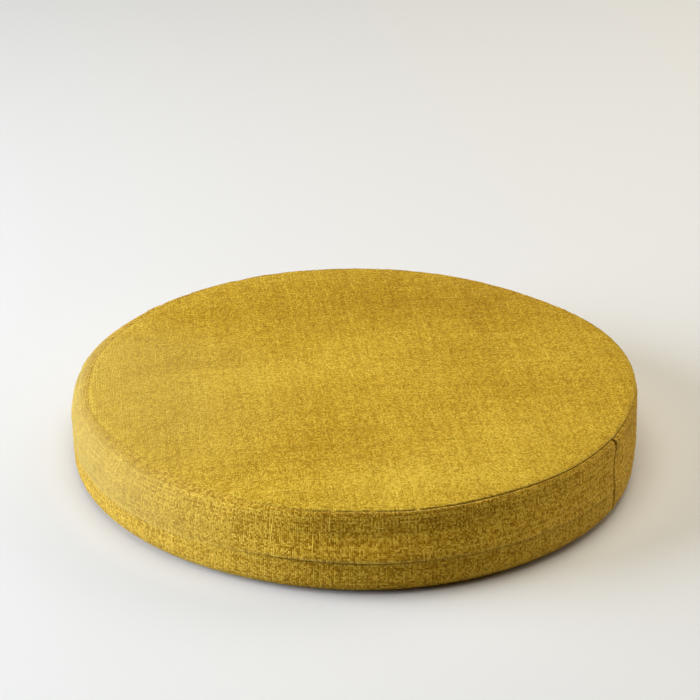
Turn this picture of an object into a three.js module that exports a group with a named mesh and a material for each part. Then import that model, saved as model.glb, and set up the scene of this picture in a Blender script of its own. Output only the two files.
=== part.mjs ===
// Round seat cushion, 450 mm across: a foam pad in a sewn linen-look cover, lying on its bottom panel.
// Millimetres, +Z up, origin on the base at the middle, the cushion's front towards -Y.
// The cover is a top panel, a wide upper side strip that laps over a narrow lower one, and a bottom panel.
// They are sewn edge to edge round one filling, so the cushion is one closed solid.
import * as THREE from 'three';

// Driving dimensions
const BODY_RADIUS = 225;       // half the width at the belly of the side
const TOP_SEAM_HEIGHT = 62;    // seam between the top panel and the upper strip
const TOP_HEIGHT = 70;         // middle of the top panel
const BELLY_HEIGHT = 36;       // where the side is widest
const LAP_HEIGHT = 26;         // folded lower edge of the upper strip
const BASE_ROUND = 11;         // radius of the soft edge between the lower strip and the base

// Seams and the lap
const LAP_STAND = 1.9;         // how far the fold stands out over the lower strip
const LAP_FOLD = 3;            // height of the folded edge's rounding
const LAP_CREASE = 0.4;        // rounding of the fold and of the crease under it
const STRIP_BULGE = 0.3;       // swell of the lower strip between its seam and the lap
const BASE_SEAM_TURN = 45;     // degrees round the soft edge at which the bottom seam lies
const BASE_SEAM_HALF = 9;      // degrees on each side of it that it draws in
const BASE_SEAM_PINCH = 1.3;   // how far it draws them in
const STRIP_SET_BACK = 1.2;    // lower strip behind the belly of the side
const SIDE_CURVE = 0.8;        // below 1 the rounded upper strip stays upright longer before it turns in
const SEAM_LIP = { deep: 1.3, flat: 0.55 };  // height of the panel's lip above a deep and a flat top seam
const SEAM_PUFF = { deep: 2.2, flat: 1.2 };  // how far the panel swells up right behind such a seam
const SOFT_PINCH = 0.9;        // pinch of the flattest seam
const CRISP_PINCH = 2.6;       // pinch of the deepest one
const EDGE_RISE = 5.6;         // rise of the top panel from its seam over the pad's edge
const EDGE_RISE_POWER = 7;     // sharpness of that edge
const LYING_INSET = 14;        // inset at which the rounded strip lies over fully at the seam
const UPRIGHT_LEAN = 0.5;      // how far it lies over there where the side stands upright
const SEAM_SAG = 0.7;          // how far the top seam sags where the side is a straight wall
const FOOT_HEIGHT = 2;         // above the lap, where the upright strip's flared foot begins
const FOOT_TOP = 47;           // height at which the foot has turned upright
const FOOT_SHARE = 0.93;       // share of the inset that the foot takes

// Unevenness of the sewing, by bearing in degrees from +X towards +Y: how far the top seam is drawn in
// from the belly, how deep it is pinched, and how far the lap wanders up or down.
const SEWING = [
  { bearing: 0, inset: 1.5, pinch: 2.2, lap: -1 },
  { bearing: 20, inset: 1, pinch: 2, lap: 0 },
  { bearing: 45, inset: 7.5, pinch: 1.8, lap: 0.8 },
  { bearing: 75, inset: 11.5, pinch: 1.5, lap: 0.3 },
  { bearing: 105, inset: 14.5, pinch: 1.3, lap: -0.5 },
  { bearing: 150, inset: 18.5, pinch: 1.2, lap: 0.7 },
  { bearing: 180, inset: 14.5, pinch: 1.1, lap: -0.8 },
  { bearing: 197, inset: 12.5, pinch: 1.1, lap: -1.5 },
  { bearing: 225, inset: 17.5, pinch: 1.2, lap: -2.6 },
  { bearing: 258, inset: 10, pinch: 1.7, lap: 1.5 },
  { bearing: 273, inset: 12.5, pinch: 1.85, lap: 1.1 },
  { bearing: 285, inset: 11, pinch: 2, lap: 0.8 },
  { bearing: 305, inset: 12, pinch: 2.2, lap: 0 },
  { bearing: 330, inset: 8.5, pinch: 2.4, lap: -0.7 },
  { bearing: 345, inset: 5.5, pinch: 2.4, lap: -1.3 },
];

// Share of the upper strip's shape, by bearing, that is an upright wall up to a crisp seam. Elsewhere, on
// the left and at the back, the strip rolls over into a soft shoulder.
const UPRIGHT = [
  [0, 0.4], [30, 0.2], [50, 0], [230, 0], [245, 0.25], [257, 0.75], [270, 1], [315, 1], [330, 0.8], [348, 0.6],
];

// Share of that wall, by bearing, whose foot flares out over the lap. The rest leans in evenly.
const FLARE = [[0, 0], [245, 0.8], [258, 1], [290, 0.9], [306, 0.45], [322, 0]];

// Slow waves in the width of the side: how many round the cushion, where one peaks, and how far it swells
const SIDE_WAVES = [
  { count: 2, peak: 125, swell: 0.8 },
  { count: 3, peak: 60, swell: 0.5 },
  { count: 7, peak: 20, swell: 0.35 },
];

// Broad swells and flats of the side: middle and half-length in degrees, and how far the side stands out
const SIDE_SWELLS = [
  { bearing: 33, spread: 12, swell: 1.2 },
  { bearing: 182, spread: 14, swell: -2.2 },
];

// Soft hollows and swells of the top panel: middle, half-lengths, turn in degrees and rise at the middle
const TOP_SWELLS = [
  { x: 20, y: 118, along: 95, across: 48, turn: 8, rise: -1.5 },
  { x: 0, y: -104, along: 78, across: 36, turn: 18, rise: -1.4 },
  { x: -112, y: 6, along: 85, across: 42, turn: 35, rise: 1.1 },
  { x: 62, y: 12, along: 62, across: 30, turn: -8, rise: 0.9 },
  { x: 112, y: -128, along: 92, across: 34, turn: 32, rise: 1.0 },
  { x: 150, y: 20, along: 45, across: 60, turn: 0, rise: -0.7 },
];
const SWELL_FADE = 0.16;       // share of the radius, in from the seam, over which the swells fade out

// Join seam of the side strips
const JOIN_BEARING = -27.8;    // degrees, right of the front
const JOIN_PATH = [            // height, and degrees by which the join has wandered towards the right there
  [38, -0.2], [43, 0.35], [50, 1.9], [53, 2.6], [57, 2.7], [60, 2.2], [62, 1.6],
];
const JOIN_DEPTH = 1.5;
const JOIN_HALF_WIDTH = 1.5;
const JOIN_PUCKER_DROP = 0.8;  // how far the join pulls the top seam down
const JOIN_PUCKER_HALF = 9;    // half-width of that pull along the seam

// Mesh steps
const COLUMN_STEP = 3;         // degrees
const JOIN_COLUMNS = [-1.5, -0.75, -0.35, 0, 0.35, 0.75, 1.5];
const BASE_MIDDLE = 0.55;      // share of the radius where the base has its one inner ring
const SIDE_ARC = [14, 29, 43, 56, 68, 78, 85];
const PANEL_STEPS = [0.02, 0.04, 0.07, 0.12, 0.19, 0.28, 0.39, 0.52, 0.66, 0.82];

const radians = THREE.MathUtils.degToRad;
const { clamp, lerp, smoothstep } = THREE.MathUtils;

/** Signed difference of two bearings, between -180 and 180 degrees. */
function turnBetween(bearing, from) {
  return THREE.MathUtils.euclideanModulo(bearing - from + 180, 360) - 180;
}

/** A column of the sewing table at any bearing, on a smooth closed curve through its rows. */
function sewingValue(column, bearing) {
  const full = THREE.MathUtils.euclideanModulo(bearing, 360);
  const last = SEWING.findLastIndex((row) => row.bearing <= full);
  const [before, from, to, after] = [-1, 0, 1, 2].map((step) => SEWING.at((last + step) % SEWING.length));
  const span = (first, second) => THREE.MathUtils.euclideanModulo(second.bearing - first.bearing, 360);
  const slope = (first, second) => (second[column] - first[column]) / span(first, second);
  const width = span(from, to);
  const share = (full - from.bearing) / width;
  const ease = smoothstep(share, 0, 1);
  const leave = slope(before, to) * width * share * (1 - share) ** 2;
  const arrive = slope(from, after) * width * share ** 2 * (1 - share);
  return lerp(from[column], to[column], ease) + leave - arrive;
}

/** Value at a place between the rows of a table of places and values. */
function tableValue(table, place) {
  const next = table.findIndex(([at]) => at > place);
  if (next === -1) return table.at(-1)[1];
  if (next === 0) return table[0][1];
  const [[low, from], [high, to]] = [table[next - 1], table[next]];
  return lerp(from, to, (place - low) / (high - low));
}

/** Value at a bearing of a table whose first row is at 0 degrees, closed round the cushion. */
function roundValue(table, bearing) {
  return tableValue([...table, [360, table[0][1]]], THREE.MathUtils.euclideanModulo(bearing, 360));
}

/** Radius of the belly of the side, with its slow waves, swells and flats. */
function bellyRadius(bearing) {
  const waves = SIDE_WAVES.map((wave) => wave.swell * Math.cos(radians(wave.count * (bearing - wave.peak))));
  const swells = SIDE_SWELLS.map(
    (spot) => spot.swell * Math.exp(-((turnBetween(bearing, spot.bearing) / spot.spread) ** 2)),
  );
  return [...waves, ...swells].reduce((radius, swell) => radius + swell, BODY_RADIUS);
}

/** Height of the top panel's swells at a place on it. */
function topSwell(x, y) {
  return TOP_SWELLS.reduce((height, swell) => {
    const turned = new THREE.Vector2(x - swell.x, y - swell.y).rotateAround(new THREE.Vector2(), -radians(swell.turn));
    return height + swell.rise * Math.exp(-((turned.x / swell.along) ** 2) - (turned.y / swell.across) ** 2);
  }, 0);
}

/** Soft bottom edge: from the flat base round to the lower strip, with the bottom seam drawn in. */
function baseEdge(belly) {
  const seam = BASE_SEAM_TURN;
  return [0, seam / 2, seam - BASE_SEAM_HALF, seam, seam + BASE_SEAM_HALF, 90].map((degrees) => {
    const reach = BASE_ROUND - (degrees === seam ? BASE_SEAM_PINCH : 0);
    return [
      belly - STRIP_SET_BACK - BASE_ROUND + reach * Math.sin(radians(degrees)),
      BASE_ROUND - reach * Math.cos(radians(degrees)),
    ];
  });
}

/** All that shapes one column's section: belly radius, sewing values, lap height, and how the side stands. */
function sewingAt(bearing) {
  const belly = bellyRadius(bearing);
  const inset = sewingValue('inset', bearing);
  const pinch = sewingValue('pinch', bearing);
  const upright = roundValue(UPRIGHT, bearing);
  const flare = roundValue(FLARE, bearing);
  const aside = radians(turnBetween(bearing, JOIN_BEARING + JOIN_PATH.at(-1)[1])) * belly;
  const pucker = JOIN_PUCKER_DROP * Math.exp(-((aside / JOIN_PUCKER_HALF) ** 2));
  return {
    belly,
    inset,
    pinch,
    upright,
    flare,
    lap: LAP_HEIGHT + sewingValue('lap', bearing),
    flat: Math.max(upright, 1 - smoothstep(pinch, SOFT_PINCH, CRISP_PINCH)),
    drop: pucker + SEAM_SAG * upright * (1 - flare),
  };
}

/** How far the upright wall is set in from the belly at a height: in its flared foot, or evenly. */
function setIn(height, { lap, inset, flare }) {
  const foot = smoothstep(height, lap + FOOT_HEIGHT, FOOT_TOP);
  const above = smoothstep(height, FOOT_TOP, TOP_SEAM_HEIGHT);
  const even = clamp((height - lap) / (TOP_SEAM_HEIGHT - lap), 0, 1);
  return inset * lerp(even, lerp(above, foot, FOOT_SHARE), flare);
}

/** Lower strip, then the folded edge of the upper strip that stands out over it, up to the belly. */
function lapEdge(sewing) {
  const { belly, lap, upright } = sewing;
  const strip = belly - STRIP_SET_BACK;
  const fold = strip + LAP_STAND;
  const fromFold = [
    [fold - LAP_CREASE, lap],
    [fold, lap + LAP_FOLD / 2],
    [fold - LAP_CREASE, lap + LAP_FOLD],
    [belly, BELLY_HEIGHT],
  ];
  return [
    [strip + STRIP_BULGE, (BASE_ROUND + lap) / 2],
    [strip, lap - LAP_CREASE],
    ...fromFold.map(([radius, height]) => [radius - upright * setIn(height, sewing), height]),
  ];
}

/** Upper strip from the belly to the top seam, the pinched seam itself, and the panel's lip above it. */
function shoulder(sewing) {
  const { belly, inset, pinch, upright, flat, drop } = sewing;
  const seam = belly - inset;
  const height = TOP_SEAM_HEIGHT - drop;
  const lean = lerp(clamp(inset / LYING_INSET, 0, 1), UPRIGHT_LEAN, upright);
  const strip = SIDE_ARC.map((degrees) => {
    const rise = BELLY_HEIGHT + (height - BELLY_HEIGHT) * Math.sin(radians(degrees));
    const rounded = seam + inset * Math.cos(radians(degrees)) ** SIDE_CURVE;
    return [lerp(rounded, belly - setIn(rise, sewing), upright), rise];
  });
  return [
    ...strip,
    [seam - pinch * lerp(1, 0.25, lean), height + lerp(0.5, -0.6 * pinch, lean)],
    [seam + lerp(0.4, -1.4, lean), height + lerp(SEAM_LIP.deep, SEAM_LIP.flat, flat)],
    [seam - lerp(0.6, 3, lean), height + lerp(SEAM_PUFF.deep, SEAM_PUFF.flat, flat)],
  ];
}

/** Top panel, from behind its lip in towards the middle. */
function topPanel({ belly, inset, flat, drop }, bearing) {
  const puff = lerp(SEAM_PUFF.deep, SEAM_PUFF.flat, flat);
  const dome = TOP_HEIGHT - TOP_SEAM_HEIGHT - EDGE_RISE;
  return PANEL_STEPS.map((share) => {
    const out = 1 - share;
    const radius = (belly - inset) * out;
    const fade = smoothstep(share, 0, SWELL_FADE);
    const wave = topSwell(radius * Math.cos(radians(bearing)), radius * Math.sin(radians(bearing)));
    const edge = puff + (EDGE_RISE - puff) * (1 - out ** EDGE_RISE_POWER);
    const sunk = drop * out ** (4 * EDGE_RISE_POWER);
    return [radius, TOP_SEAM_HEIGHT + edge + dome * (1 - out ** 2) - sunk + fade * wave];
  });
}

/** Radius and height of every ring at one bearing, from the base to the middle of the top panel. */
function section(bearing) {
  const sewing = sewingAt(bearing);
  const edge = baseEdge(sewing.belly);
  return [
    [edge[0][0] * BASE_MIDDLE, 0],
    ...edge,
    ...lapEdge(sewing),
    ...shoulder(sewing),
    ...topPanel(sewing, bearing),
  ];
}

/** Bearings of the mesh's columns: even steps, closer at the join seam. */
function columnBearings() {
  const even = Array.from({ length: 360 / COLUMN_STEP }, (_, step) => JOIN_BEARING + step * COLUMN_STEP);
  const clear = even.filter((bearing) => Math.abs(turnBetween(bearing, JOIN_BEARING)) > COLUMN_STEP / 2);
  return [...JOIN_COLUMNS.map((offset) => JOIN_BEARING + offset), ...clear];
}

/** One point of the surface. Columns near the join bend with it, and the join sinks into the side. */
function surfacePoint(bearing, [radius, height]) {
  const offset = turnBetween(bearing, JOIN_BEARING);
  const near = 1 - smoothstep(Math.abs(offset), 2 * COLUMN_STEP, 5 * COLUMN_STEP);
  const onSide = smoothstep(height, 0, BASE_ROUND) * (1 - smoothstep(height, TOP_SEAM_HEIGHT, TOP_SEAM_HEIGHT + 1));
  const across = (radians(offset) * radius) / JOIN_HALF_WIDTH;
  const sunk = radius - JOIN_DEPTH * onSide * Math.exp(-(across ** 2));
  const outside = smoothstep(radius, 0.8 * BODY_RADIUS, 0.93 * BODY_RADIUS);
  const bent = radians(bearing + tableValue(JOIN_PATH, height) * near * outside);
  return new THREE.Vector3(sunk * Math.cos(bent), sunk * Math.sin(bent), height);
}

/** Closed surface over all rings, with one point at the middle of the base and one at the middle of the top. */
function cushionGeometry() {
  const columns = columnBearings().map((bearing) => section(bearing).map((ring) => surfacePoint(bearing, ring)));
  const rings = columns[0].length;
  const points = columns.flat();
  const baseMiddle = points.push(new THREE.Vector3(0, 0, 0)) - 1;
  const topMiddle = points.push(new THREE.Vector3(0, 0, TOP_HEIGHT + topSwell(0, 0))) - 1;
  const faces = columns.flatMap((_, column) => {
    const here = column * rings;
    const next = ((column + 1) % columns.length) * rings;
    const wall = Array.from({ length: rings - 1 }, (__, ring) => [
      here + ring, next + ring, next + ring + 1,
      here + ring, next + ring + 1, here + ring + 1,
    ]);
    return [next, here, baseMiddle, ...wall.flat(), here + rings - 1, next + rings - 1, topMiddle];
  });
  const geometry = new THREE.BufferGeometry().setFromPoints(points);
  geometry.setIndex(faces);
  geometry.computeBoundingBox();
  const middle = geometry.boundingBox.getCenter(new THREE.Vector3());
  geometry.translate(-middle.x, -middle.y, 0);
  geometry.computeVertexNormals();
  return geometry;
}

const coverCloth = new THREE.MeshStandardMaterial({ color: 0xc9a032, roughness: 0.95, metalness: 0 });

const cushion = new THREE.Mesh(cushionGeometry(), coverCloth);
cushion.name = 'cushion';

const roundSeatCushion = new THREE.Group();
roundSeatCushion.add(cushion);

export default roundSeatCushion;
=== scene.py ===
"""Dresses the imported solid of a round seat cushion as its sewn, linen-look cover over a foam pad.

Metres throughout, +Z up, the front towards -Y, the base on z = 0. The cover is a top panel, a wide upper
side strip that laps over a narrow lower one, and a bottom panel, sewn edge to edge round one pad.
"""

import logging
import math
import random
from dataclasses import dataclass, field
from enum import Enum
from typing import NamedTuple, Optional, Sequence, Union

import bmesh
import bpy
import numpy as np
from mathutils import Matrix, Vector
from mathutils.bvhtree import BVHTree


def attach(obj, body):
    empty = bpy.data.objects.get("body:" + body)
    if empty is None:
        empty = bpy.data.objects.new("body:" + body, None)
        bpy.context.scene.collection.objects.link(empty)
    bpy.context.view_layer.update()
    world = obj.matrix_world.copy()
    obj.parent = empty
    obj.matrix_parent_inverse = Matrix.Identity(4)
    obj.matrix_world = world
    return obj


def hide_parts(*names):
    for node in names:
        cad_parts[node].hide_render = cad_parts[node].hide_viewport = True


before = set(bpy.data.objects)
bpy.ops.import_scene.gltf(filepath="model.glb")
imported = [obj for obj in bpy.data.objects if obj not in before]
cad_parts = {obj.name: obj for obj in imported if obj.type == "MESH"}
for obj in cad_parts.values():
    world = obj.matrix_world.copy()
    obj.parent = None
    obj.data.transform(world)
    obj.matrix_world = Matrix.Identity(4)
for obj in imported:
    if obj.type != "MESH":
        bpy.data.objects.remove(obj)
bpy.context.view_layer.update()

SOLID = "cushion"
BODY = "root"
MM = 0.001
FULL_TURN = 360.0
TABLE_EASE = 3.0
MIDDLE_HEIGHT = 35 * MM
CLOTH_SPECULAR = 0.1
SHEEN_ROUGHNESS = 0.3

log = logging.getLogger("cushion")

Socket = bpy.types.NodeSocket
Value = Union[float, Sequence[float], Socket]


def smoothstep(value: float, low: float, high: float) -> float:
    """Eased share, from 0 to 1, of the way that value has gone from low to high."""
    share = min(max((value - low) / (high - low), 0.0), 1.0)
    return share * share * (3.0 - 2.0 * share)


def lerp(start: float, end: float, share: float) -> float:
    """Value at a share of the way from start to end."""
    return start + (end - start) * share


def bell(offset: float, half: float) -> float:
    """Soft bump that is 1 at no offset and has nearly gone at twice its half-width."""
    return math.exp(-((offset / half) ** 2))


def turn_between(bearing: float, start: float) -> float:
    """Signed difference of two bearings, between -180 and 180 degrees."""
    return (bearing - start + FULL_TURN / 2) % FULL_TURN - FULL_TURN / 2


def round_table(table: Sequence[tuple[float, float]], bearing: float) -> float:
    """Value at a bearing of a closed table of bearings and values, its corners eased.

    Args:
        table: rows of a bearing and a value.
        bearing: degrees from +X towards +Y.

    Returns:
        The value there.
    """
    bearings, values = zip(*table)
    around = [bearing - TABLE_EASE, bearing, bearing + TABLE_EASE]
    return float(np.interp(around, bearings, values, period=FULL_TURN).mean())


class Panel(Enum):
    """Pieces of cloth that the cover is sewn from, in the order from the base to the top."""

    BASE = 0
    LOWER_STRIP = 1
    UPPER_STRIP = 2
    TOP = 3


PANEL_SLOTS = {Panel.BASE: 2, Panel.LOWER_STRIP: 1, Panel.UPPER_STRIP: 1, Panel.TOP: 0}


class Ring(NamedTuple):
    """One ring of the cover's section at a bearing.

    radius and height place it, panel is the cloth above it, held is how firmly the sewing or the floor
    holds it, depth is how much painted shade it takes for lying in a seam, wear_and_highlight how much
    wear and painted highlight it takes for standing out on a fold, and gather how far the sewing puckers
    the cloth there.
    """

    radius: float
    height: float
    panel: Panel
    held: float = 0.0
    depth: float = 0.0
    wear_and_highlight: float = 0.0
    gather: float = 0.0


class SeamMark(NamedTuple):
    """How firmly one ring of the pinched seam is held, and its full share of painted shade, of wear and
    painted highlight, and of puckers.
    """

    held: float
    dark: float
    wear_and_highlight: float
    gather: float

    def ring(self, place: tuple[float, float], panel: Panel, dark: float, wear_and_highlight_share: float, near: float) -> Ring:
        """The ring at its place, with as much painted shade, wear and painted highlight, and puckering as
        there is at its bearing.
        """
        return Ring(*place, panel, self.held, self.dark * dark, self.wear_and_highlight * wear_and_highlight_share, self.gather * near)


class FoldPoint(NamedTuple):
    """Point of the lap's section: millimetres out and up from the lap line, its painted shade, and its
    wear and painted highlight.
    """

    out: float
    up: float
    depth: float
    wear_and_highlight: float = 0.0


class SewingRow(NamedTuple):
    """Unevenness of the sewing at a bearing, in degrees from +X towards +Y.

    inset is how far the top seam is drawn in from the belly, pinch how deep it is pinched, and lap how
    far the folded edge wanders up or down.
    """

    bearing: float
    inset: float
    pinch: float
    lap: float


class Wave(NamedTuple):
    """Slow wave in the width of the side: how many round the cushion, where one peaks and its swell."""

    count: int
    peak: float
    swell: float


class Swell(NamedTuple):
    """Broad swell or flat of the side: its middle and half-length in degrees and how far it stands out."""

    bearing: float
    spread: float
    swell: float


class Spot(NamedTuple):
    """Soft oval of the top panel: middle, half-lengths, turn in degrees and what it adds there."""

    x: float
    y: float
    along: float
    across: float
    turn: float
    amount: float


class Trough(NamedTuple):
    """Soft level crease in the side: its middle bearing and half-length in degrees, height and depth."""

    bearing: float
    spread: float
    height: float
    half: float
    depth: float


SEWING = (
    SewingRow(0, 1.5 * MM, 2.2 * MM, -1.0 * MM),
    SewingRow(20, 1.0 * MM, 2.0 * MM, 0.0),
    SewingRow(45, 7.5 * MM, 1.8 * MM, 0.8 * MM),
    SewingRow(75, 11.5 * MM, 1.5 * MM, 0.3 * MM),
    SewingRow(105, 14.5 * MM, 1.3 * MM, -0.5 * MM),
    SewingRow(150, 18.5 * MM, 1.2 * MM, 0.7 * MM),
    SewingRow(180, 14.5 * MM, 1.1 * MM, -0.8 * MM),
    SewingRow(197, 12.5 * MM, 1.1 * MM, -1.5 * MM),
    SewingRow(225, 17.5 * MM, 1.2 * MM, -2.6 * MM),
    SewingRow(258, 10.0 * MM, 1.7 * MM, 1.5 * MM),
    SewingRow(273, 12.5 * MM, 1.85 * MM, 1.1 * MM),
    SewingRow(285, 11.0 * MM, 2.0 * MM, 0.8 * MM),
    SewingRow(305, 12.0 * MM, 2.2 * MM, 0.0),
    SewingRow(330, 8.5 * MM, 2.4 * MM, -0.7 * MM),
    SewingRow(345, 5.5 * MM, 2.4 * MM, -1.3 * MM),
)

SIDE_WAVES = (Wave(2, 125, 0.8 * MM), Wave(3, 60, 0.5 * MM), Wave(7, 20, 0.35 * MM))

SIDE_SWELLS = (Swell(33, 12, 1.2 * MM), Swell(182, 14, -2.2 * MM))

PUCKERS = (Wave(83, 77, 0.3), Wave(131, 17, 0.4), Wave(197, 203, 0.4), Wave(241, 31, 0.3))

# Rows of the pinched seam's rings: held, painted shade, wear and painted highlight, puckers.
SEAM_MARKS = (
    SeamMark(1.0, 0.3, 1.0, 0.7), SeamMark(1.0, 1.0, 0.0, 0.3), SeamMark(1.0, 0.3, 0.0, 0.7),
    SeamMark(0.7, 0.0, 0.8, 1.0), SeamMark(0.4, 0.0, 0.3, 1.0),
)

SETTLED_EASE = ((-1.1, 0.12), (-0.55, 0.22), (0.0, 0.32), (0.55, 0.22), (1.1, 0.12))

# The third column is painted shade in the slit under the folded edge, the fourth wear and painted highlight.
LAP_FOLD = (
    FoldPoint(0.12, -2.6, 0.0), FoldPoint(0.1, -1.5, 0.4), FoldPoint(0.05, -0.7, 1.0),
    FoldPoint(-0.2, 0.3, 1.0), FoldPoint(-0.1, 1.3, 1.0), FoldPoint(0.42, 1.0, 1.0),
    FoldPoint(0.62, 0.2, 1.0), FoldPoint(1.05, -0.1, 1.0), FoldPoint(1.55, 0.15, 0.8),
    FoldPoint(1.85, 0.8, 0.1, 0.5), FoldPoint(1.93, 1.5, 0.0, 0.7), FoldPoint(1.8, 2.7, 0.0, 0.1),
    FoldPoint(1.55, 4.6, 0.0), FoldPoint(1.32, 7.0, 0.0),
)

JOIN_PATH = (
    (0.0, -0.3), (38 * MM, -0.2), (43 * MM, 0.35), (47 * MM, 1.1), (50 * MM, 1.9), (53 * MM, 2.6),
    (57 * MM, 2.7), (60 * MM, 2.2), (61.5 * MM, 1.75), (62 * MM, 1.6),
)

TOP_SWELLS = (
    Spot(20 * MM, 118 * MM, 95 * MM, 48 * MM, 8, -1.5 * MM),
    Spot(0, -104 * MM, 78 * MM, 36 * MM, 18, -1.4 * MM),
    Spot(-112 * MM, 6 * MM, 85 * MM, 42 * MM, 35, 1.1 * MM),
    Spot(62 * MM, 12 * MM, 62 * MM, 30 * MM, -8, 0.9 * MM),
    Spot(112 * MM, -128 * MM, 92 * MM, 34 * MM, 32, 1.0 * MM),
    Spot(150 * MM, 20 * MM, 45 * MM, 60 * MM, 0, -0.7 * MM),
)

# Soft ovals of painted light and shade on the top: darker at the back, lighter across the left and front.
TOP_PAINTED_SHADING = (
    Spot(20 * MM, 135 * MM, 140 * MM, 55 * MM, 4, -1.3),
    Spot(-74 * MM, -8 * MM, 105 * MM, 32 * MM, 30, 0.7),
    Spot(-4 * MM, -108 * MM, 66 * MM, 32 * MM, 18, -0.55),
    Spot(134 * MM, -30 * MM, 40 * MM, 26 * MM, 0, -0.45),
    Spot(60 * MM, -172 * MM, 120 * MM, 30 * MM, 12, 0.7),
    Spot(125 * MM, -112 * MM, 75 * MM, 42 * MM, 38, 0.6),
)

# How open the lap's slit is by bearing: it sets the fold's step and the painted shade in the slit.
LAP_GAP = (
    (0, 0.4), (45, 0.5), (150, 0.5), (195, 0.1), (240, 0.04), (250, 0.16), (255, 0.5), (259, 1.0),
    (275, 1.0), (286, 0.42), (310, 0.22), (335, 0.3),
)

# How much the top seam shows by bearing: its dip, its painted shade and the painted shade on its stitches.
SEAM_SHOWS = ((0, 1.0), (150, 1.0), (225, 0.6), (245, 0.12), (262, 0.02), (278, 0.04), (288, 0.25),
              (299, 0.55), (308, 0.9))

# Painted sheen by bearing: the side towards the main light is painted paler, less saturated and flatter in
# tone.
PAINTED_SHEEN_SIDE = ((0, 0.0), (145, 0.0), (168, 0.55), (207, 0.52), (226, 0.36), (240, 0.14), (252, 0.0))

# Painted light and shade on the strips by bearing: lighter at the front left and right, darker at the front.
STRIP_PAINTED_SHADING = (
    (0, 0.3), (60, 0.0), (190, 0.0), (226, 0.5), (242, 0.9), (254, 0.5), (266, -0.4), (285, -0.2),
    (300, 0.35), (330, 0.5),
)

UPRIGHT = (
    (0, 0.4), (30, 0.2), (50, 0.0), (230, 0.0), (245, 0.25), (257, 0.75), (270, 1.0), (315, 1.0),
    (330, 0.8), (348, 0.6),
)

FLARE = ((0, 0.0), (245, 0.8), (258, 1.0), (290, 0.9), (306, 0.45), (322, 0.0))

ROLLED_RIM = ((0, 0.0), (258, 0.0), (266, 0.7), (272, 1.0), (297, 1.0), (305, 0.3), (312, 0.0))

SIDE_TROUGHS = (
    Trough(275, 11, 53.5 * MM, 1.5 * MM, 0.4 * MM),
    Trough(267, 8, 42 * MM, 1.5 * MM, 0.4 * MM),
    Trough(298, 12, 52 * MM, 2.4 * MM, 0.12 * MM),
    Trough(222, 14, 44 * MM, 3.0 * MM, 0.3 * MM),
)


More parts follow.
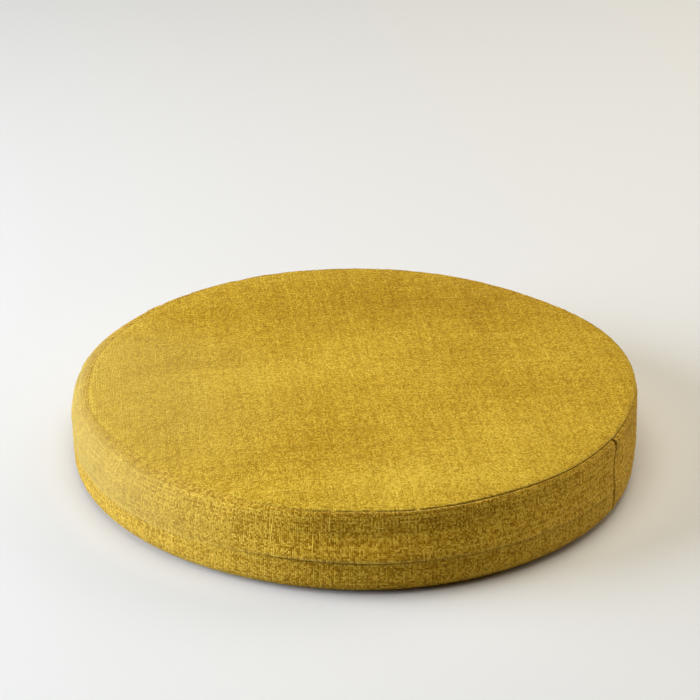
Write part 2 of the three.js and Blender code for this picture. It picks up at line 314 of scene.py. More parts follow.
@dataclass(frozen=True)
class CoverShape:
    """Shape of the filled cover, worked out ring by ring from its sewn section at each bearing.

    A pair of values named for the pit, the lip or the puff is for a strip that lies over at the seam and
    for one that stands upright, and any other pair is for the start and the end of a change.
    """

    body_radius: float = 225 * MM
    top_seam_height: float = 62 * MM
    top_height: float = 70 * MM
    belly_height: float = 36 * MM
    lap_height: float = 26 * MM
    base_round: float = 11 * MM
    strip_set_back: float = 1.2 * MM
    strip_bulge: float = 0.3 * MM
    base_seam_turn: float = 45.0
    base_seam_half: float = 4.5
    base_seam_pinch: float = 1.5 * MM
    base_pucker: float = 0.6
    base_pucker_turn: float = 16.0
    base_pucker_half: float = 14.0
    base_lying_turn: float = 60.0
    foot_hold: float = 0.4
    lap_flat_stand: float = 0.25
    lap_flat_wear_and_highlight: float = 0.3
    lap_hold: float = 0.5
    side_curve: float = 0.8
    seam_line: float = 0.8 * MM
    seam_lip: float = 1.3 * MM
    seam_puff: float = 2.2 * MM
    edge_fill: float = 3.4 * MM
    edge_fill_power: float = 7.0
    upright_inset: float = 14 * MM
    soft_pinch: float = 0.9 * MM
    crisp_pinch: float = 2.6 * MM
    flat_lip: float = 0.55 * MM
    flat_puff: float = 1.2 * MM
    seam_near: tuple[float, float] = (76.0, 86.5)
    near_hold: float = 0.6
    near_wear_and_highlight: float = 0.5
    dip_by_depth: tuple[float, float] = (0.4, 1.1)
    dip_by_show: tuple[float, float] = (0.12, 1.0)
    pit_inward: tuple[float, float] = (1.0, 0.25)
    pit_lying_rise: float = 0.5 * MM
    lip_outward: tuple[float, float] = (0.4 * MM, -1.4 * MM)
    puff_inward: tuple[float, float] = (0.6 * MM, 3.0 * MM)
    edge_share: float = 0.55
    rim_across: float = 0.5
    rim_up: float = 0.45
    upright_lean: float = 0.5
    upright_drop: float = 0.7 * MM
    upright_foot: float = 2 * MM
    upright_height: float = 47 * MM
    upright_share: float = 0.93
    rim_width: float = 1.1 * MM
    rim_rise: float = 0.15 * MM
    soft_slope: float = 0.28
    soft_reach: float = 8 * MM
    swell_fade: float = 0.16
    join_bearing: float = -27.8
    join_hook: float = 1.6
    join_hook_height: float = 12 * MM
    join_fade_height: float = 42 * MM
    join_depth: float = 1.9 * MM
    join_half: float = 0.7 * MM
    join_rim: float = 0.75 * MM
    join_rim_half: float = 1.3 * MM
    join_rim_set: float = 2.1 * MM
    join_pucker_drop: float = 0.8 * MM
    join_pucker_half: float = 9 * MM
    join_top_edge: float = 0.5 * MM
    join_hook_full: float = 0.4
    join_least: float = 0.55
    join_low: float = 0.85
    join_tuck: float = 0.3
    join_tuck_set: float = 1.6
    join_tuck_half: float = 1.4
    join_mark_half: float = 1.1
    join_wear_and_highlight_half: float = 0.8
    join_bend: tuple[float, float] = (6.0, 15.0)
    join_bend_radii: tuple[float, float] = (0.8, 0.93)
    pucker_height: float = 0.26 * MM
    pucker_reach: float = 6 * MM
    pucker_least: float = 0.2
    gather_seen: float = 0.01
    # Reach and strength of the painted sheen over the upper strip, the lower strip and the top's edge.
    painted_sheen_reach: float = 18 * MM
    painted_sheen_full: float = 0.3
    lower_painted_sheen: float = 0.35
    seam_painted_sheen: float = 0.45
    top_painted_sheen_reach: float = 190 * MM

    base_shares = (0.04, 0.3, 0.6, 0.85, 0.96)
    base_turns = (0.0, 14.0, 26.0, 34.0, 39.5, 43.0, 45.0, 47.0, 50.5, 56.0, 64.0, 76.0, 90.0)
    strip_shares = (0.3, 0.6)
    lap_pocket = 4
    lap_free = 11
    side_turns = (9.0, 17.0, 22.0, 25.0, 28.0, 32.0, 37.0, 44.0, 52.0, 60.0, 67.0, 73.0, 78.5, 83.0, 86.5)
    panel_shares = (
        0.02, 0.028, 0.039, 0.054, 0.072, 0.096, 0.122, 0.152, 0.186, 0.224, 0.266, 0.312, 0.362,
        0.416, 0.474, 0.536, 0.602, 0.672, 0.746, 0.824, 0.9, 0.96,
    )
    join_columns = (0.0, 0.09, 0.18, 0.28, 0.4, 0.55, 0.75, 1.0, 1.3)

    def sewing(self, column: str, bearing: float) -> float:
        """Value of a column of the sewing table at any bearing, on a smooth closed curve through it.

        Args:
            column: name of the column.
            bearing: degrees from +X towards +Y.

        Returns:
            The column's value there, in metres.
        """
        full = bearing % FULL_TURN
        last = max(index for index, row in enumerate(SEWING) if row.bearing <= full)
        before, start, end, after = (SEWING[(last + step) % len(SEWING)] for step in (-1, 0, 1, 2))

        def slope(first: SewingRow, second: SewingRow) -> float:
            """Change of the column for each degree from one row to another."""
            change = getattr(second, column) - getattr(first, column)
            return change / ((second.bearing - first.bearing) % FULL_TURN)

        width = (end.bearing - start.bearing) % FULL_TURN
        share = (full - start.bearing) / width
        leave = slope(before, end) * width * share * (1 - share) ** 2
        arrive = slope(start, after) * width * share ** 2 * (1 - share)
        eased = smoothstep(share, 0.0, 1.0)
        return lerp(getattr(start, column), getattr(end, column), eased) + leave - arrive

    def belly_radius(self, bearing: float) -> float:
        """Radius of the belly of the side, with its slow waves, swells and flats.

        Args:
            bearing: degrees from +X towards +Y.

        Returns:
            The radius there.
        """
        waves = (w.swell * math.cos(math.radians(w.count * (bearing - w.peak))) for w in SIDE_WAVES)
        swells = (s.swell * bell(turn_between(bearing, s.bearing), s.spread) for s in SIDE_SWELLS)
        return self.body_radius + sum(waves) + sum(swells)

    def spots(self, spots: Sequence[Spot], x: float, y: float) -> float:
        """What soft spots of the top panel add up to at a place on it.

        Args:
            spots: the soft spots.
            x: metres to the right of the middle.
            y: metres behind it.

        Returns:
            The sum of what they add.
        """
        total = 0.0
        for spot in spots:
            turn = math.radians(spot.turn)
            along = (x - spot.x) * math.cos(turn) + (y - spot.y) * math.sin(turn)
            across = (y - spot.y) * math.cos(turn) - (x - spot.x) * math.sin(turn)
            total += spot.amount * math.exp(-((along / spot.along) ** 2) - (across / spot.across) ** 2)
        return total

    def set_in(self, height: float, lap: float, inset: float, bearing: float) -> float:
        """How far an upright part of the side is set in: evenly, or mostly just above the lap.

        Args:
            height: height above the base.
            lap: height of the lap line.
            inset: how far the top seam is set in from the belly.
            bearing: the column's bearing, which tells how much the foot of the strip flares out.

        Returns:
            The distance, from 0 at the lap line to the inset at the top seam.
        """
        flare = smoothstep(height, lap + self.upright_foot, self.upright_height)
        above = smoothstep(height, self.upright_height, self.top_seam_height)
        flared = self.upright_share * flare + (1 - self.upright_share) * above
        even = min(max((height - lap) / (self.top_seam_height - lap), 0.0), 1.0)
        return inset * lerp(even, flared, round_table(FLARE, bearing))

    def base_rings(self, belly: float) -> list[Ring]:
        """Flat bottom panel, its seam drawn in on the soft edge, and the foot of the lower strip.

        Args:
            belly: radius of the belly.

        Returns:
            The rings, from the middle outwards and up.
        """
        inner = belly - self.strip_set_back - self.base_round
        rings = [Ring(inner * share, 0.0, Panel.BASE, held=1.0) for share in self.base_shares]
        for degrees in self.base_turns:
            past = degrees - self.base_seam_turn
            near = bell(past, self.base_seam_half)
            reach = self.base_round - self.base_seam_pinch * near
            angle = math.radians(degrees)
            panel = Panel.BASE if past < 0 else Panel.LOWER_STRIP
            place = (inner + reach * math.sin(angle), self.base_round - reach * math.cos(angle))
            gather = self.base_pucker * bell(past - self.base_pucker_turn, self.base_pucker_half)
            held = 1.0 if degrees < self.base_lying_turn else self.foot_hold
            rings.append(Ring(*place, panel, held=held, depth=near ** 3, gather=gather))
        return rings

    def lap_rings(self, belly: float, lap: float, inset: float, bearing: float) -> list[Ring]:
        """Lower strip up to the pocket behind the lap, then round the folded edge of the upper strip.

        Args:
            belly: radius of the belly.
            lap: height of the lap line.
            inset: how far the top seam is set in from the belly.
            bearing: degrees from +X towards +Y.

        Returns:
            The rings, from the lower strip up.
        """
        strip = belly - self.strip_set_back
        gap, upright = round_table(LAP_GAP, bearing), round_table(UPRIGHT, bearing)
        rings = []
        for share in self.strip_shares:
            bulge = self.strip_bulge * math.sin(math.pi * share)
            rings.append(Ring(strip + bulge, lerp(self.base_round, lap, share), Panel.LOWER_STRIP))
        for index, point in enumerate(LAP_FOLD):
            panel = Panel.LOWER_STRIP if index < self.lap_pocket else Panel.UPPER_STRIP
            height = lap + point.up * MM
            out = point.out * MM * lerp(self.lap_flat_stand, 1.0, gap)
            held = 1.0 if index < self.lap_free else self.lap_hold
            # Painted shade in the slit under the fold, wear and painted highlight on its edge.
            wear_and_highlight = point.wear_and_highlight * lerp(self.lap_flat_wear_and_highlight, 1.0, gap)
            radius = strip + out - upright * self.set_in(height, lap, inset, bearing)
            rings.append(Ring(radius, height, panel, held=held, depth=point.depth * gap, wear_and_highlight=wear_and_highlight))
        return rings

    def shoulder_rings(
        self, belly: float, lap: float, inset: float, drop: float, bearing: float
    ) -> list[Ring]:
        """Upper strip from the belly to the top seam, the pinched seam and the panel's lip above it.

        Args:
            belly: radius of the belly.
            lap: height of the lap line.
            inset: how far the top seam is set in from the belly.
            drop: how far the seam is drawn down.
            bearing: the column's bearing.

        Returns:
            The rings, the last of them where the top panel starts.
        """
        seam = belly - inset
        pinch, upright = self.sewing("pinch", bearing), round_table(UPRIGHT, bearing)
        height = self.top_seam_height - drop - self.seam_sag(bearing)
        deep = smoothstep(pinch, self.soft_pinch, self.crisp_pinch)
        soft = (1 - deep) * (1 - upright)
        low = belly - upright * self.set_in(self.belly_height, lap, inset, bearing)
        rings = [Ring(low, self.belly_height, Panel.UPPER_STRIP)]
        for degrees in self.side_turns:
            angle = math.radians(degrees)
            rise = self.belly_height + (height - self.belly_height) * math.sin(angle)
            rounded = seam + inset * math.cos(angle) ** self.side_curve
            radius = lerp(rounded, belly - self.set_in(rise, lap, inset, bearing), upright)
            near = smoothstep(degrees, *self.seam_near)
            gather = self.gathered(height - rise, deep)
            aside = radius - seam
            rise -= soft * self.soft_slope * aside * bell(aside, self.soft_reach)
            rings.append(Ring(radius, rise, Panel.UPPER_STRIP, held=self.near_hold * near,
                              wear_and_highlight=self.near_wear_and_highlight * near * deep, gather=gather))
        lean = lerp(min(max(inset / self.upright_inset, 0.0), 1.0), self.upright_lean, upright)
        shows = round_table(SEAM_SHOWS, bearing)
        dip = self.seam_line - pinch * lerp(*self.dip_by_depth, deep) * lerp(*self.dip_by_show, shows)
        pit = (seam - pinch * lerp(*self.pit_inward, lean), height + lerp(self.pit_lying_rise, dip, lean))
        flat = self.flatness(bearing)
        lip = (seam + lerp(*self.lip_outward, lean), height + lerp(self.seam_lip, self.flat_lip, flat))
        puff = (seam - lerp(*self.puff_inward, lean), height + lerp(self.seam_puff, self.flat_puff, flat))
        edge = (lerp(seam, pit[0], self.edge_share), lerp(height, pit[1], self.edge_share))
        rim = (lerp(pit[0], lip[0], self.rim_across), lerp(pit[1], lip[1], self.rim_up))
        rolled = round_table(ROLLED_RIM, bearing)
        width = rolled * self.rim_width
        edge = (lerp(edge[0], seam - width, rolled), lerp(edge[1], height + self.rim_rise, rolled))
        near = self.gathered(0.0, deep)
        # Painted shade in the seam where it is crisp and shows; wear and painted highlight on the rim and
        # lip.
        dark = deep * shows
        edge_mark, *panel_marks = SEAM_MARKS
        rings.append(edge_mark.ring(edge, Panel.UPPER_STRIP, dark * (1 - rolled), rolled, near))
        wear_and_highlight_shares = (0.0, 0.0, deep * (1 - rolled), deep)
        for mark, (across, up), wear_and_highlight_share in zip(panel_marks, (pit, rim, lip, puff), wear_and_highlight_shares):
            rings.append(mark.ring((across - width, up), Panel.TOP, dark, wear_and_highlight_share, near))
        return rings

    def seam_sag(self, bearing: float) -> float:
        """How far the top seam sags where the side stands straight up to it."""
        return round_table(UPRIGHT, bearing) * (1 - round_table(FLARE, bearing)) * self.upright_drop

    def flatness(self, bearing: float) -> float:
        """How flat the top panel lies behind its seam: flattest at an upright side and at a soft seam."""
        deep = smoothstep(self.sewing("pinch", bearing), self.soft_pinch, self.crisp_pinch)
        return max(round_table(UPRIGHT, bearing), 1 - deep)

    def gathered(self, distance: float, deep: float) -> float:
        """Share of the puckers at a distance from a seam: fewer where it is less deeply pinched."""
        return lerp(self.pucker_least, 1.0, deep) * bell(distance, self.pucker_reach)

    def panel_rings(self, seam: float, drop: float, bearing: float) -> list[Ring]:
        """Top panel, from behind its lip in towards the middle.

        Args:
            seam: radius of the top seam.
            drop: how far the seam is drawn down.
            bearing: degrees from +X towards +Y.

        Returns:
            The rings, the last of them nearest the middle.
        """
        puff = lerp(self.seam_puff, self.flat_puff, self.flatness(bearing)) - self.seam_sag(bearing)
        fill = self.edge_fill + self.seam_puff - puff
        dome = self.top_height - self.top_seam_height - puff - fill
        deep = smoothstep(self.sewing("pinch", bearing), self.soft_pinch, self.crisp_pinch)
        angle = math.radians(bearing)
        rings = []
        for share in self.panel_shares:
            out = 1 - share
            radius = seam * out
            swell = self.spots(TOP_SWELLS, radius * math.cos(angle), radius * math.sin(angle))
            rise = puff + fill * (1 - out ** self.edge_fill_power) + dome * (1 - out ** 2)
            sunk = drop * out ** (4 * self.edge_fill_power)
            height = self.top_seam_height - sunk + rise + smoothstep(share, 0, self.swell_fade) * swell
            rings.append(Ring(radius, height, Panel.TOP, gather=self.gathered(seam - radius, deep)))
        return rings

    def section(self, bearing: float) -> list[Ring]:
        """All rings at one bearing, from the base to the middle of the top panel.

        Args:
            bearing: degrees from +X towards +Y.

        Returns:
            The rings in order.
        """
        belly = self.belly_radius(bearing)
        inset = self.sewing("inset", bearing)
        aside = math.radians(turn_between(bearing, self.join_bearing + self.join_hook)) * belly
        drop = self.join_pucker_drop * bell(aside, self.join_pucker_half)
        lap = self.lap_height + self.sewing("lap", bearing)
        return [
            *self.base_rings(belly),
            *self.lap_rings(belly, lap, inset, bearing),
            *self.shoulder_rings(belly, lap, inset, drop, bearing),
            *self.panel_rings(belly - inset, drop, bearing),
        ]

    def bearings(self, step: float) -> list[float]:
        """Bearings of the columns, from the join seam round to it again: even, and closer at the join.

        Args:
            step: degrees between two columns, away from the join.

        Returns:
            The bearings in order.
        """
        reach = self.join_columns[-1]
        count = round((FULL_TURN - 2 * reach) / step)
        even = [reach + index * (FULL_TURN - 2 * reach) / count for index in range(1, count)]
        mirrored = (FULL_TURN - offset for offset in self.join_columns[:0:-1])
        offsets = [*self.join_columns, *even, *mirrored]
        return [self.join_bearing + offset for offset in offsets]

    def on_side(self, height: float) -> float:
        """Share of the join's relief at a height: none on the base or the top panel.

        Args:
            height: metres above the base.

        Returns:
            The share, from 0 to 1.
        """
        top = self.top_seam_height - self.upright_drop
        below_top = 1 - smoothstep(height, top, top + self.join_top_edge)
        return smoothstep(height, 0, self.base_round) * below_top

    def join_strength(self, height: float) -> float:
        """How deep and dark the join is at a height: most at its hook, least at its middle.

        Args:
            height: metres above the base.

        Returns:
            The strength, up to 1.
        """
        start = self.top_seam_height - self.join_hook_height
        hooked = smoothstep(height, start, self.top_seam_height - self.join_hook_full * self.join_hook_height)
        low = 1 - smoothstep(height, self.lap_height, self.join_fade_height)
        return max(self.join_least, self.join_low * low, hooked)

    def join_sink(self, across: float, height: float) -> float:
        """How far the join draws the side in at a distance across it, its far flap standing proud.

        Args:
            across: metres from the join, positive towards the right of the cushion.
            height: metres above the base.

        Returns:
            The depth below the strip's surface, negative where the flap stands out.
        """
        strength = self.join_strength(height)
        groove = self.join_depth * strength * bell(across, self.join_half)
        rim = self.join_rim * strength * bell(across - self.join_rim_set, self.join_rim_half)
        beyond = across + self.join_tuck_set * self.join_rim_set
        tuck = self.join_tuck * self.join_rim * bell(beyond, self.join_tuck_half * self.join_rim_half)
        return self.on_side(height) * (groove - rim + tuck)

    def join_marks(self, across: float, height: float) -> tuple[float, float]:
        """Painted shade in the join's groove, and wear and painted highlight on its flap, at a distance
        across it.

        Args:
            across: metres from the join, positive towards the right of the cushion.
            height: metres above the base.

        Returns:
            The painted shade and the wear and painted highlight.
        """
        strength = self.on_side(height) * self.join_strength(height)
        return (strength * bell(across, self.join_mark_half * self.join_half),
                strength * bell(across - self.join_rim_set, self.join_wear_and_highlight_half * self.join_rim_half))

    def join_turn(self, height: float) -> float:
        """How far the join has wandered towards the right at a height, in degrees."""
        heights, turns = zip(*JOIN_PATH)
        return float(np.interp(height, heights, turns))

    def fade(self, bearing: float, ring: Ring) -> float:
        """How much painted sheen the side towards the main light takes at a ring: a paler,
        less saturated colour that stands in for that light's sheen.

        Args:
            bearing: degrees from +X towards +Y.
            ring: the ring of the section there.

        Returns:
            The share of the painted sheen's pale colour.
        """
        edge = self.body_radius - self.painted_sheen_reach
        side = smoothstep(ring.radius, edge, self.body_radius - self.painted_sheen_full * self.painted_sheen_reach)
        strength = {
            Panel.TOP: self.seam_painted_sheen * smoothstep(ring.radius, edge - self.top_painted_sheen_reach, edge),
            Panel.UPPER_STRIP: lerp(self.seam_painted_sheen, 1.0, side),
            Panel.LOWER_STRIP: self.lower_painted_sheen * side,
        }
        return strength.get(ring.panel, 0.0) * round_table(PAINTED_SHEEN_SIDE, bearing)

    def place(self, bearing: float, ring: Ring) -> tuple[Vector, float, float]:
        """Point of the surface and its marks: columns bend with the join, creases and puckers sink in.

        Args:
            bearing: the column's bearing.
            ring: the ring of the section there.

        Returns:
            The point, its painted seam shade and its wear and painted highlight.
        """
        offset = turn_between(bearing, self.join_bearing)
        near = 1 - smoothstep(abs(offset), *self.join_bend)
        outside = smoothstep(ring.radius, *(share * self.body_radius for share in self.join_bend_radii))
        across = math.radians(offset) * ring.radius
        radius = ring.radius - self.join_sink(across, ring.height)
        height = ring.height
        if ring.panel is Panel.UPPER_STRIP:
            for trough in SIDE_TROUGHS:
                aside = turn_between(bearing, trough.bearing) / trough.spread
                up = (height - trough.height) / trough.half
                radius -= trough.depth * math.exp(-(aside ** 2) - up ** 2)
        if ring.gather > self.gather_seen:
            waves = (w.swell * math.cos(math.radians(w.count * (bearing - w.peak))) for w in PUCKERS)
            pucker = self.pucker_height * ring.gather * sum(waves)
            if ring.panel is Panel.TOP:
                height += pucker
            else:
                radius += pucker
        depth, wear_and_highlight = self.join_marks(across, ring.height)
        bent = math.radians(bearing + self.join_turn(ring.height) * near * outside)
        place = Vector((radius * math.cos(bent), radius * math.sin(bent), max(height, 0.0)))
        return place, max(ring.depth, depth), max(ring.wear_and_highlight, wear_and_highlight)


def add_object(name: str, data: bpy.types.ID) -> bpy.types.Object:
    """Adds an object with its data to the scene, at the origin.

    Args:
        name: the object's name.
        data: its mesh, light or camera.

    Returns:
        The object.
    """
    added = bpy.data.objects.new(name, data)
    bpy.context.scene.collection.objects.link(added)
    return added


def add_mark(mesh: bpy.types.Mesh, name: str, values: Sequence[float]) -> None:
    """Stores a value on each point for the finish to read."""
    mark = mesh.attributes.new(name, "FLOAT", "POINT")
    mark.data.foreach_set("value", np.array(values, np.float32))


class Moves(NamedTuple):
    """Moves outward, round and up of the points of a mesh, by column and ring, with the columns' bearings."""

    bearings: np.ndarray
    values: np.ndarray

    def at(self, bearings: np.ndarray) -> np.ndarray:
        """Moves at other bearings, eased over the gap between two columns.

        Args:
            bearings: the bearings in degrees.

        Returns:
            Moves by column, ring and way.
        """
        flat = self.values.reshape(len(self.bearings), -1)
        total = np.zeros((len(bearings), flat.shape[1]))
        for aside, weight in SETTLED_EASE:
            for index in range(flat.shape[1]):
                total[:, index] += weight * np.interp(
                    bearings + aside, self.bearings, flat[:, index], period=FULL_TURN)
        return total.reshape(len(bearings), -1, 3)


@dataclass
class Cover:
    """The sewn cover round its pad: one closed mesh with a cloth map for its weave, and marks of
    painted shade, light and sheen, and of wear and painted highlight.
    """

    shape: CoverShape = field(default_factory=CoverShape)
    name: str = "cushion_cover"
    column_step: float = 0.45
    top_turn: float = 7.0
    fill: float = 0.8
    points: list[Vector] = field(default_factory=list)
    faces: list[tuple[int, ...]] = field(default_factory=list)
    cloth_map: list[tuple[float, float]] = field(default_factory=list)
    face_panels: list[Panel] = field(default_factory=list)
    held: list[float] = field(default_factory=list)
    bearings: np.ndarray = field(default_factory=lambda: np.zeros(0))

    def build(self, moves: Optional[Moves] = None) -> bpy.types.Object:
        """Builds the mesh with its cloth map and marks, its two middles still open.

        Args:
            moves: how the cloth has settled, or None for the cover as sewn.

        Returns:
            The cover as an object at the origin.
        """
        shape = self.shape
        bearings = shape.bearings(self.column_step)
        self.bearings = np.array(bearings)
        sections = [shape.section(bearing) for bearing in bearings]
        rings = [(bearing, ring) for bearing, section in zip(bearings, sections) for ring in section]
        placed = [shape.place(bearing, ring) for bearing, ring in rings]
        self.held = [ring.held for _, ring in rings]
        self.points = [place for place, _, _ in placed]
        self.centre_points()
        if moves is not None:
            self.settle(moves)
        self.lay_faces(bearings, sections)
        mesh = bpy.data.meshes.new(self.name)
        mesh.from_pydata(self.points, [], self.faces)
        piece = add_object(self.name, mesh)
        # Marks for the finish: painted seam shade, wear and painted highlight, painted light and shade,
        # painted sheen.
        add_mark(mesh, "painted_seam_shade", [depth for _, depth, _ in placed])
        add_mark(mesh, "fold_wear_and_highlight", [wear_and_highlight for _, _, wear_and_highlight in placed])
        add_mark(mesh, "painted_shading", [
            shape.spots(TOP_PAINTED_SHADING, point.x, point.y) if ring.panel is Panel.TOP
            else round_table(STRIP_PAINTED_SHADING, math.degrees(math.atan2(point.y, point.x)))
            for point, (_, ring) in zip(self.points, rings)])
        add_mark(mesh, "fade", [shape.fade(bearing, ring) for bearing, ring in rings])
        layer = mesh.uv_layers.new(name="cloth")
        layer.data.foreach_set("uv", np.array(self.cloth_map, np.float32).ravel())
        mesh.polygons.foreach_set("material_index", [PANEL_SLOTS[panel] for panel in self.face_panels])
        mesh.shade_smooth()
        return piece

    def centre_points(self) -> None:
        """Moves the points so that the cover's box is centred as the solid's is."""
        low = [min(point[axis] for point in self.points) for axis in (0, 1)]
        high = [max(point[axis] for point in self.points) for axis in (0, 1)]
        middle = Vector(((low[0] + high[0]) / 2, (low[1] + high[1]) / 2, 0))
        self.points = [point - middle for point in self.points]

    def settle(self, moves: Moves) -> None:
        """Adds the settled cloth's moves to the points, none of them below the floor.

        Args:
            moves: how the cloth has settled.
        """
        places = np.array(self.points).reshape(len(self.bearings), -1, 3)
        around = np.arctan2(places[:, :, 1], places[:, :, 0])
        values = moves.at(self.bearings)
        places[:, :, 0] += values[:, :, 0] * np.cos(around) - values[:, :, 1] * np.sin(around)
        places[:, :, 1] += values[:, :, 0] * np.sin(around) + values[:, :, 1] * np.cos(around)
        places[:, :, 2] = np.maximum(places[:, :, 2] + values[:, :, 2], 0.0)
        self.points = [Vector(place) for place in places.reshape(-1, 3)]

    def seam_rings(self) -> list[list[Vector]]:
        """Points along the pit of the base seam and of the top seam.

        Returns:
            The points of each seam.
        """
        shape = self.shape
        rings = len(self.points) // len(self.bearings)
        base = len(shape.base_shares) + shape.base_turns.index(shape.base_seam_turn)
        top = rings - len(shape.panel_shares) - len(SEAM_MARKS) + 1
        return [self.points[ring::rings] for ring in (base, top)]

    def panel_map(self, panel: Panel, point: Vector, round_: float, up: float) -> tuple[float, float]:
        """Place on the flat cloth of a point of a panel.

        Args:
            panel: the panel.
            point: the point in space.
            round_: metres along the strip from the join.
            up: metres up the strip along its surface.

        Returns:
            Metres across and along the cloth's own weave.
        """
        if panel in (Panel.LOWER_STRIP, Panel.UPPER_STRIP):
            return round_, up
        turn = math.radians(self.top_turn)
        x, y = point.x, point.y
        return x * math.cos(turn) + y * math.sin(turn), y * math.cos(turn) - x * math.sin(turn)

    def lay_faces(self, bearings: list[float], sections: list[list[Ring]]) -> None:
        """Lays the faces between the columns, the middles of the base and the top still open.

        Args:
            bearings: the columns' bearings.
            sections: the rings of each column.
        """
        count = len(sections[0])
        ups = [self.heights_on_cloth(rings) for rings in sections]
        radius = self.shape.body_radius
        for column in range(len(bearings)):
            after = (column + 1) % len(bearings)
            rounds = (math.radians(bearings[column] - bearings[0]) * radius,
                      math.radians((bearings[after] - bearings[0]) % FULL_TURN or FULL_TURN) * radius)
            for ring in range(count - 1):
                panel = sections[0][ring].panel
                corners = ((column, ring, 0), (after, ring, 1), (after, ring + 1, 1), (column, ring + 1, 0))
                self.faces.append(tuple(at * count + level for at, level, _ in corners))
                self.face_panels.append(panel)
                for at, level, side in corners:
                    point = self.points[at * count + level]
                    self.cloth_map.append(self.panel_map(panel, point, rounds[side], ups[at][level]))

    def heights_on_cloth(self, rings: list[Ring]) -> np.ndarray:
        """Metres up the cloth of each ring of a column, from the ring at the belly.

        Args:
            rings: the column's rings.

        Returns:
            The metres, below 0 under the belly.
        """
        steps = [math.dist(a[:2], b[:2]) for a, b in zip(rings, rings[1:])]
        ups = np.array([0.0, *np.cumsum(steps)])
        above = len(self.shape.side_turns) + len(SEAM_MARKS) + len(self.shape.panel_shares)
        return ups - ups[len(rings) - 1 - above]

    def close_middles(self, piece: bpy.types.Object) -> None:
        """Closes the small open middles of the base and the top with fans, on their panels' cloth map.

        Args:
            piece: the cover.
        """
        built = bmesh.new()
        built.from_mesh(piece.data)
        layer = built.loops.layers.uv["cloth"]
        rims = [edge for edge in built.edges if edge.is_boundary]
        caps = bmesh.ops.holes_fill(built, edges=rims, sides=0)["faces"]
        for cap in caps:
            panel = Panel.TOP if cap.calc_center_median().z > self.shape.belly_height else Panel.BASE
            for face in bmesh.ops.poke(built, faces=[cap])["faces"]:
                face.material_index = PANEL_SLOTS[panel]
                face.smooth = True
                for loop in face.loops:
                    loop[layer].uv = self.panel_map(panel, loop.vert.co, 0.0, 0.0)
        built.to_mesh(piece.data)
        built.free()


@dataclass(frozen=True)
class Settling:
    """Cloth simulation of how the cover settles over its pad between the seams that hold it."""

    column_step: float = 1.5
    pressure: float = 4.0
    slack: float = 0.006
    tension: float = 30.0
    bending: float = 1.2
    quality: int = 5
    mass: float = 0.15
    shear_share: float = 0.4
    damping: float = 4.0
    last_frame: int = 20
    most: float = 1.4 * MM
    group: str = "held"

    def run(self) -> Moves:
        """Simulates a coarser cover and takes it away again.

        Returns:
            How each of its points moved beyond its ring's common move, capped.
        """
        cover = Cover(name="settling_cover", column_step=self.column_step)
        piece = cover.build()
        group = piece.vertex_groups.new(name=self.group)
        for index, weight in enumerate(cover.held):
            group.add([index], float(weight), "REPLACE")
        cloth = piece.modifiers.new("settling", "CLOTH")
        settings = cloth.settings
        settings.quality = self.quality
        settings.mass = self.mass
        settings.tension_stiffness = settings.compression_stiffness = self.tension
        settings.shear_stiffness = self.shear_share * self.tension
        settings.bending_stiffness = self.bending
        settings.air_damping = self.damping
        settings.shrink_min = -self.slack
        settings.use_pressure = True
        settings.uniform_pressure_force = self.pressure
        settings.effector_weights.gravity = 0
        settings.vertex_group_mass = self.group
        cloth.point_cache.frame_start = 1
        cloth.point_cache.frame_end = self.last_frame
        scene = bpy.context.scene
        for frame_number in range(1, self.last_frame + 1):
            scene.frame_set(frame_number)
        settled = piece.evaluated_get(bpy.context.evaluated_depsgraph_get())
        start = point_array(piece.data)
        moved = point_array(settled.data) - start
        mesh = piece.data
        bpy.data.objects.remove(piece)
        bpy.data.meshes.remove(mesh)
        scene.frame_set(1)
        return Moves(cover.bearings, self.capped(start, moved, len(cover.bearings)))

    def capped(self, start: np.ndarray, moved: np.ndarray, columns: int) -> np.ndarray:
        """Moves as outward, round and up, without each ring's common move and each within the cap.

        Args:
            start: the points as sewn.
            moved: how far each has moved.
            columns: how many columns they make.

        Returns:
            Moves by column, ring and way.
        """
        places = start.reshape(columns, -1, 3)
        moved = moved.reshape(columns, -1, 3)
        around = np.arctan2(places[:, :, 1], places[:, :, 0])
        outward = moved[:, :, 0] * np.cos(around) + moved[:, :, 1] * np.sin(around)
        sideways = moved[:, :, 1] * np.cos(around) - moved[:, :, 0] * np.sin(around)
        ways = np.stack([outward - outward.mean(0), sideways, moved[:, :, 2] - moved[:, :, 2].mean(0)], 2)
        length = np.linalg.norm(ways, axis=2, keepdims=True)
        log.info("settling moved points by up to %.1f mm, %.2f mm as a rule",
                 length.max() / MM, np.sqrt((length ** 2).mean()) / MM)
        return ways * self.most * np.tanh(length / self.most) / np.maximum(length, 1e-9)


def point_array(mesh: bpy.types.Mesh) -> np.ndarray:
    """Places of a mesh's points as rows of an array.

    Args:
        mesh: the mesh.

    Returns:
        The array.
    """
    flat = np.zeros(len(mesh.vertices) * 3, np.float32)
    mesh.vertices.foreach_get("co", flat)
    return flat.reshape(-1, 3).astype(float)


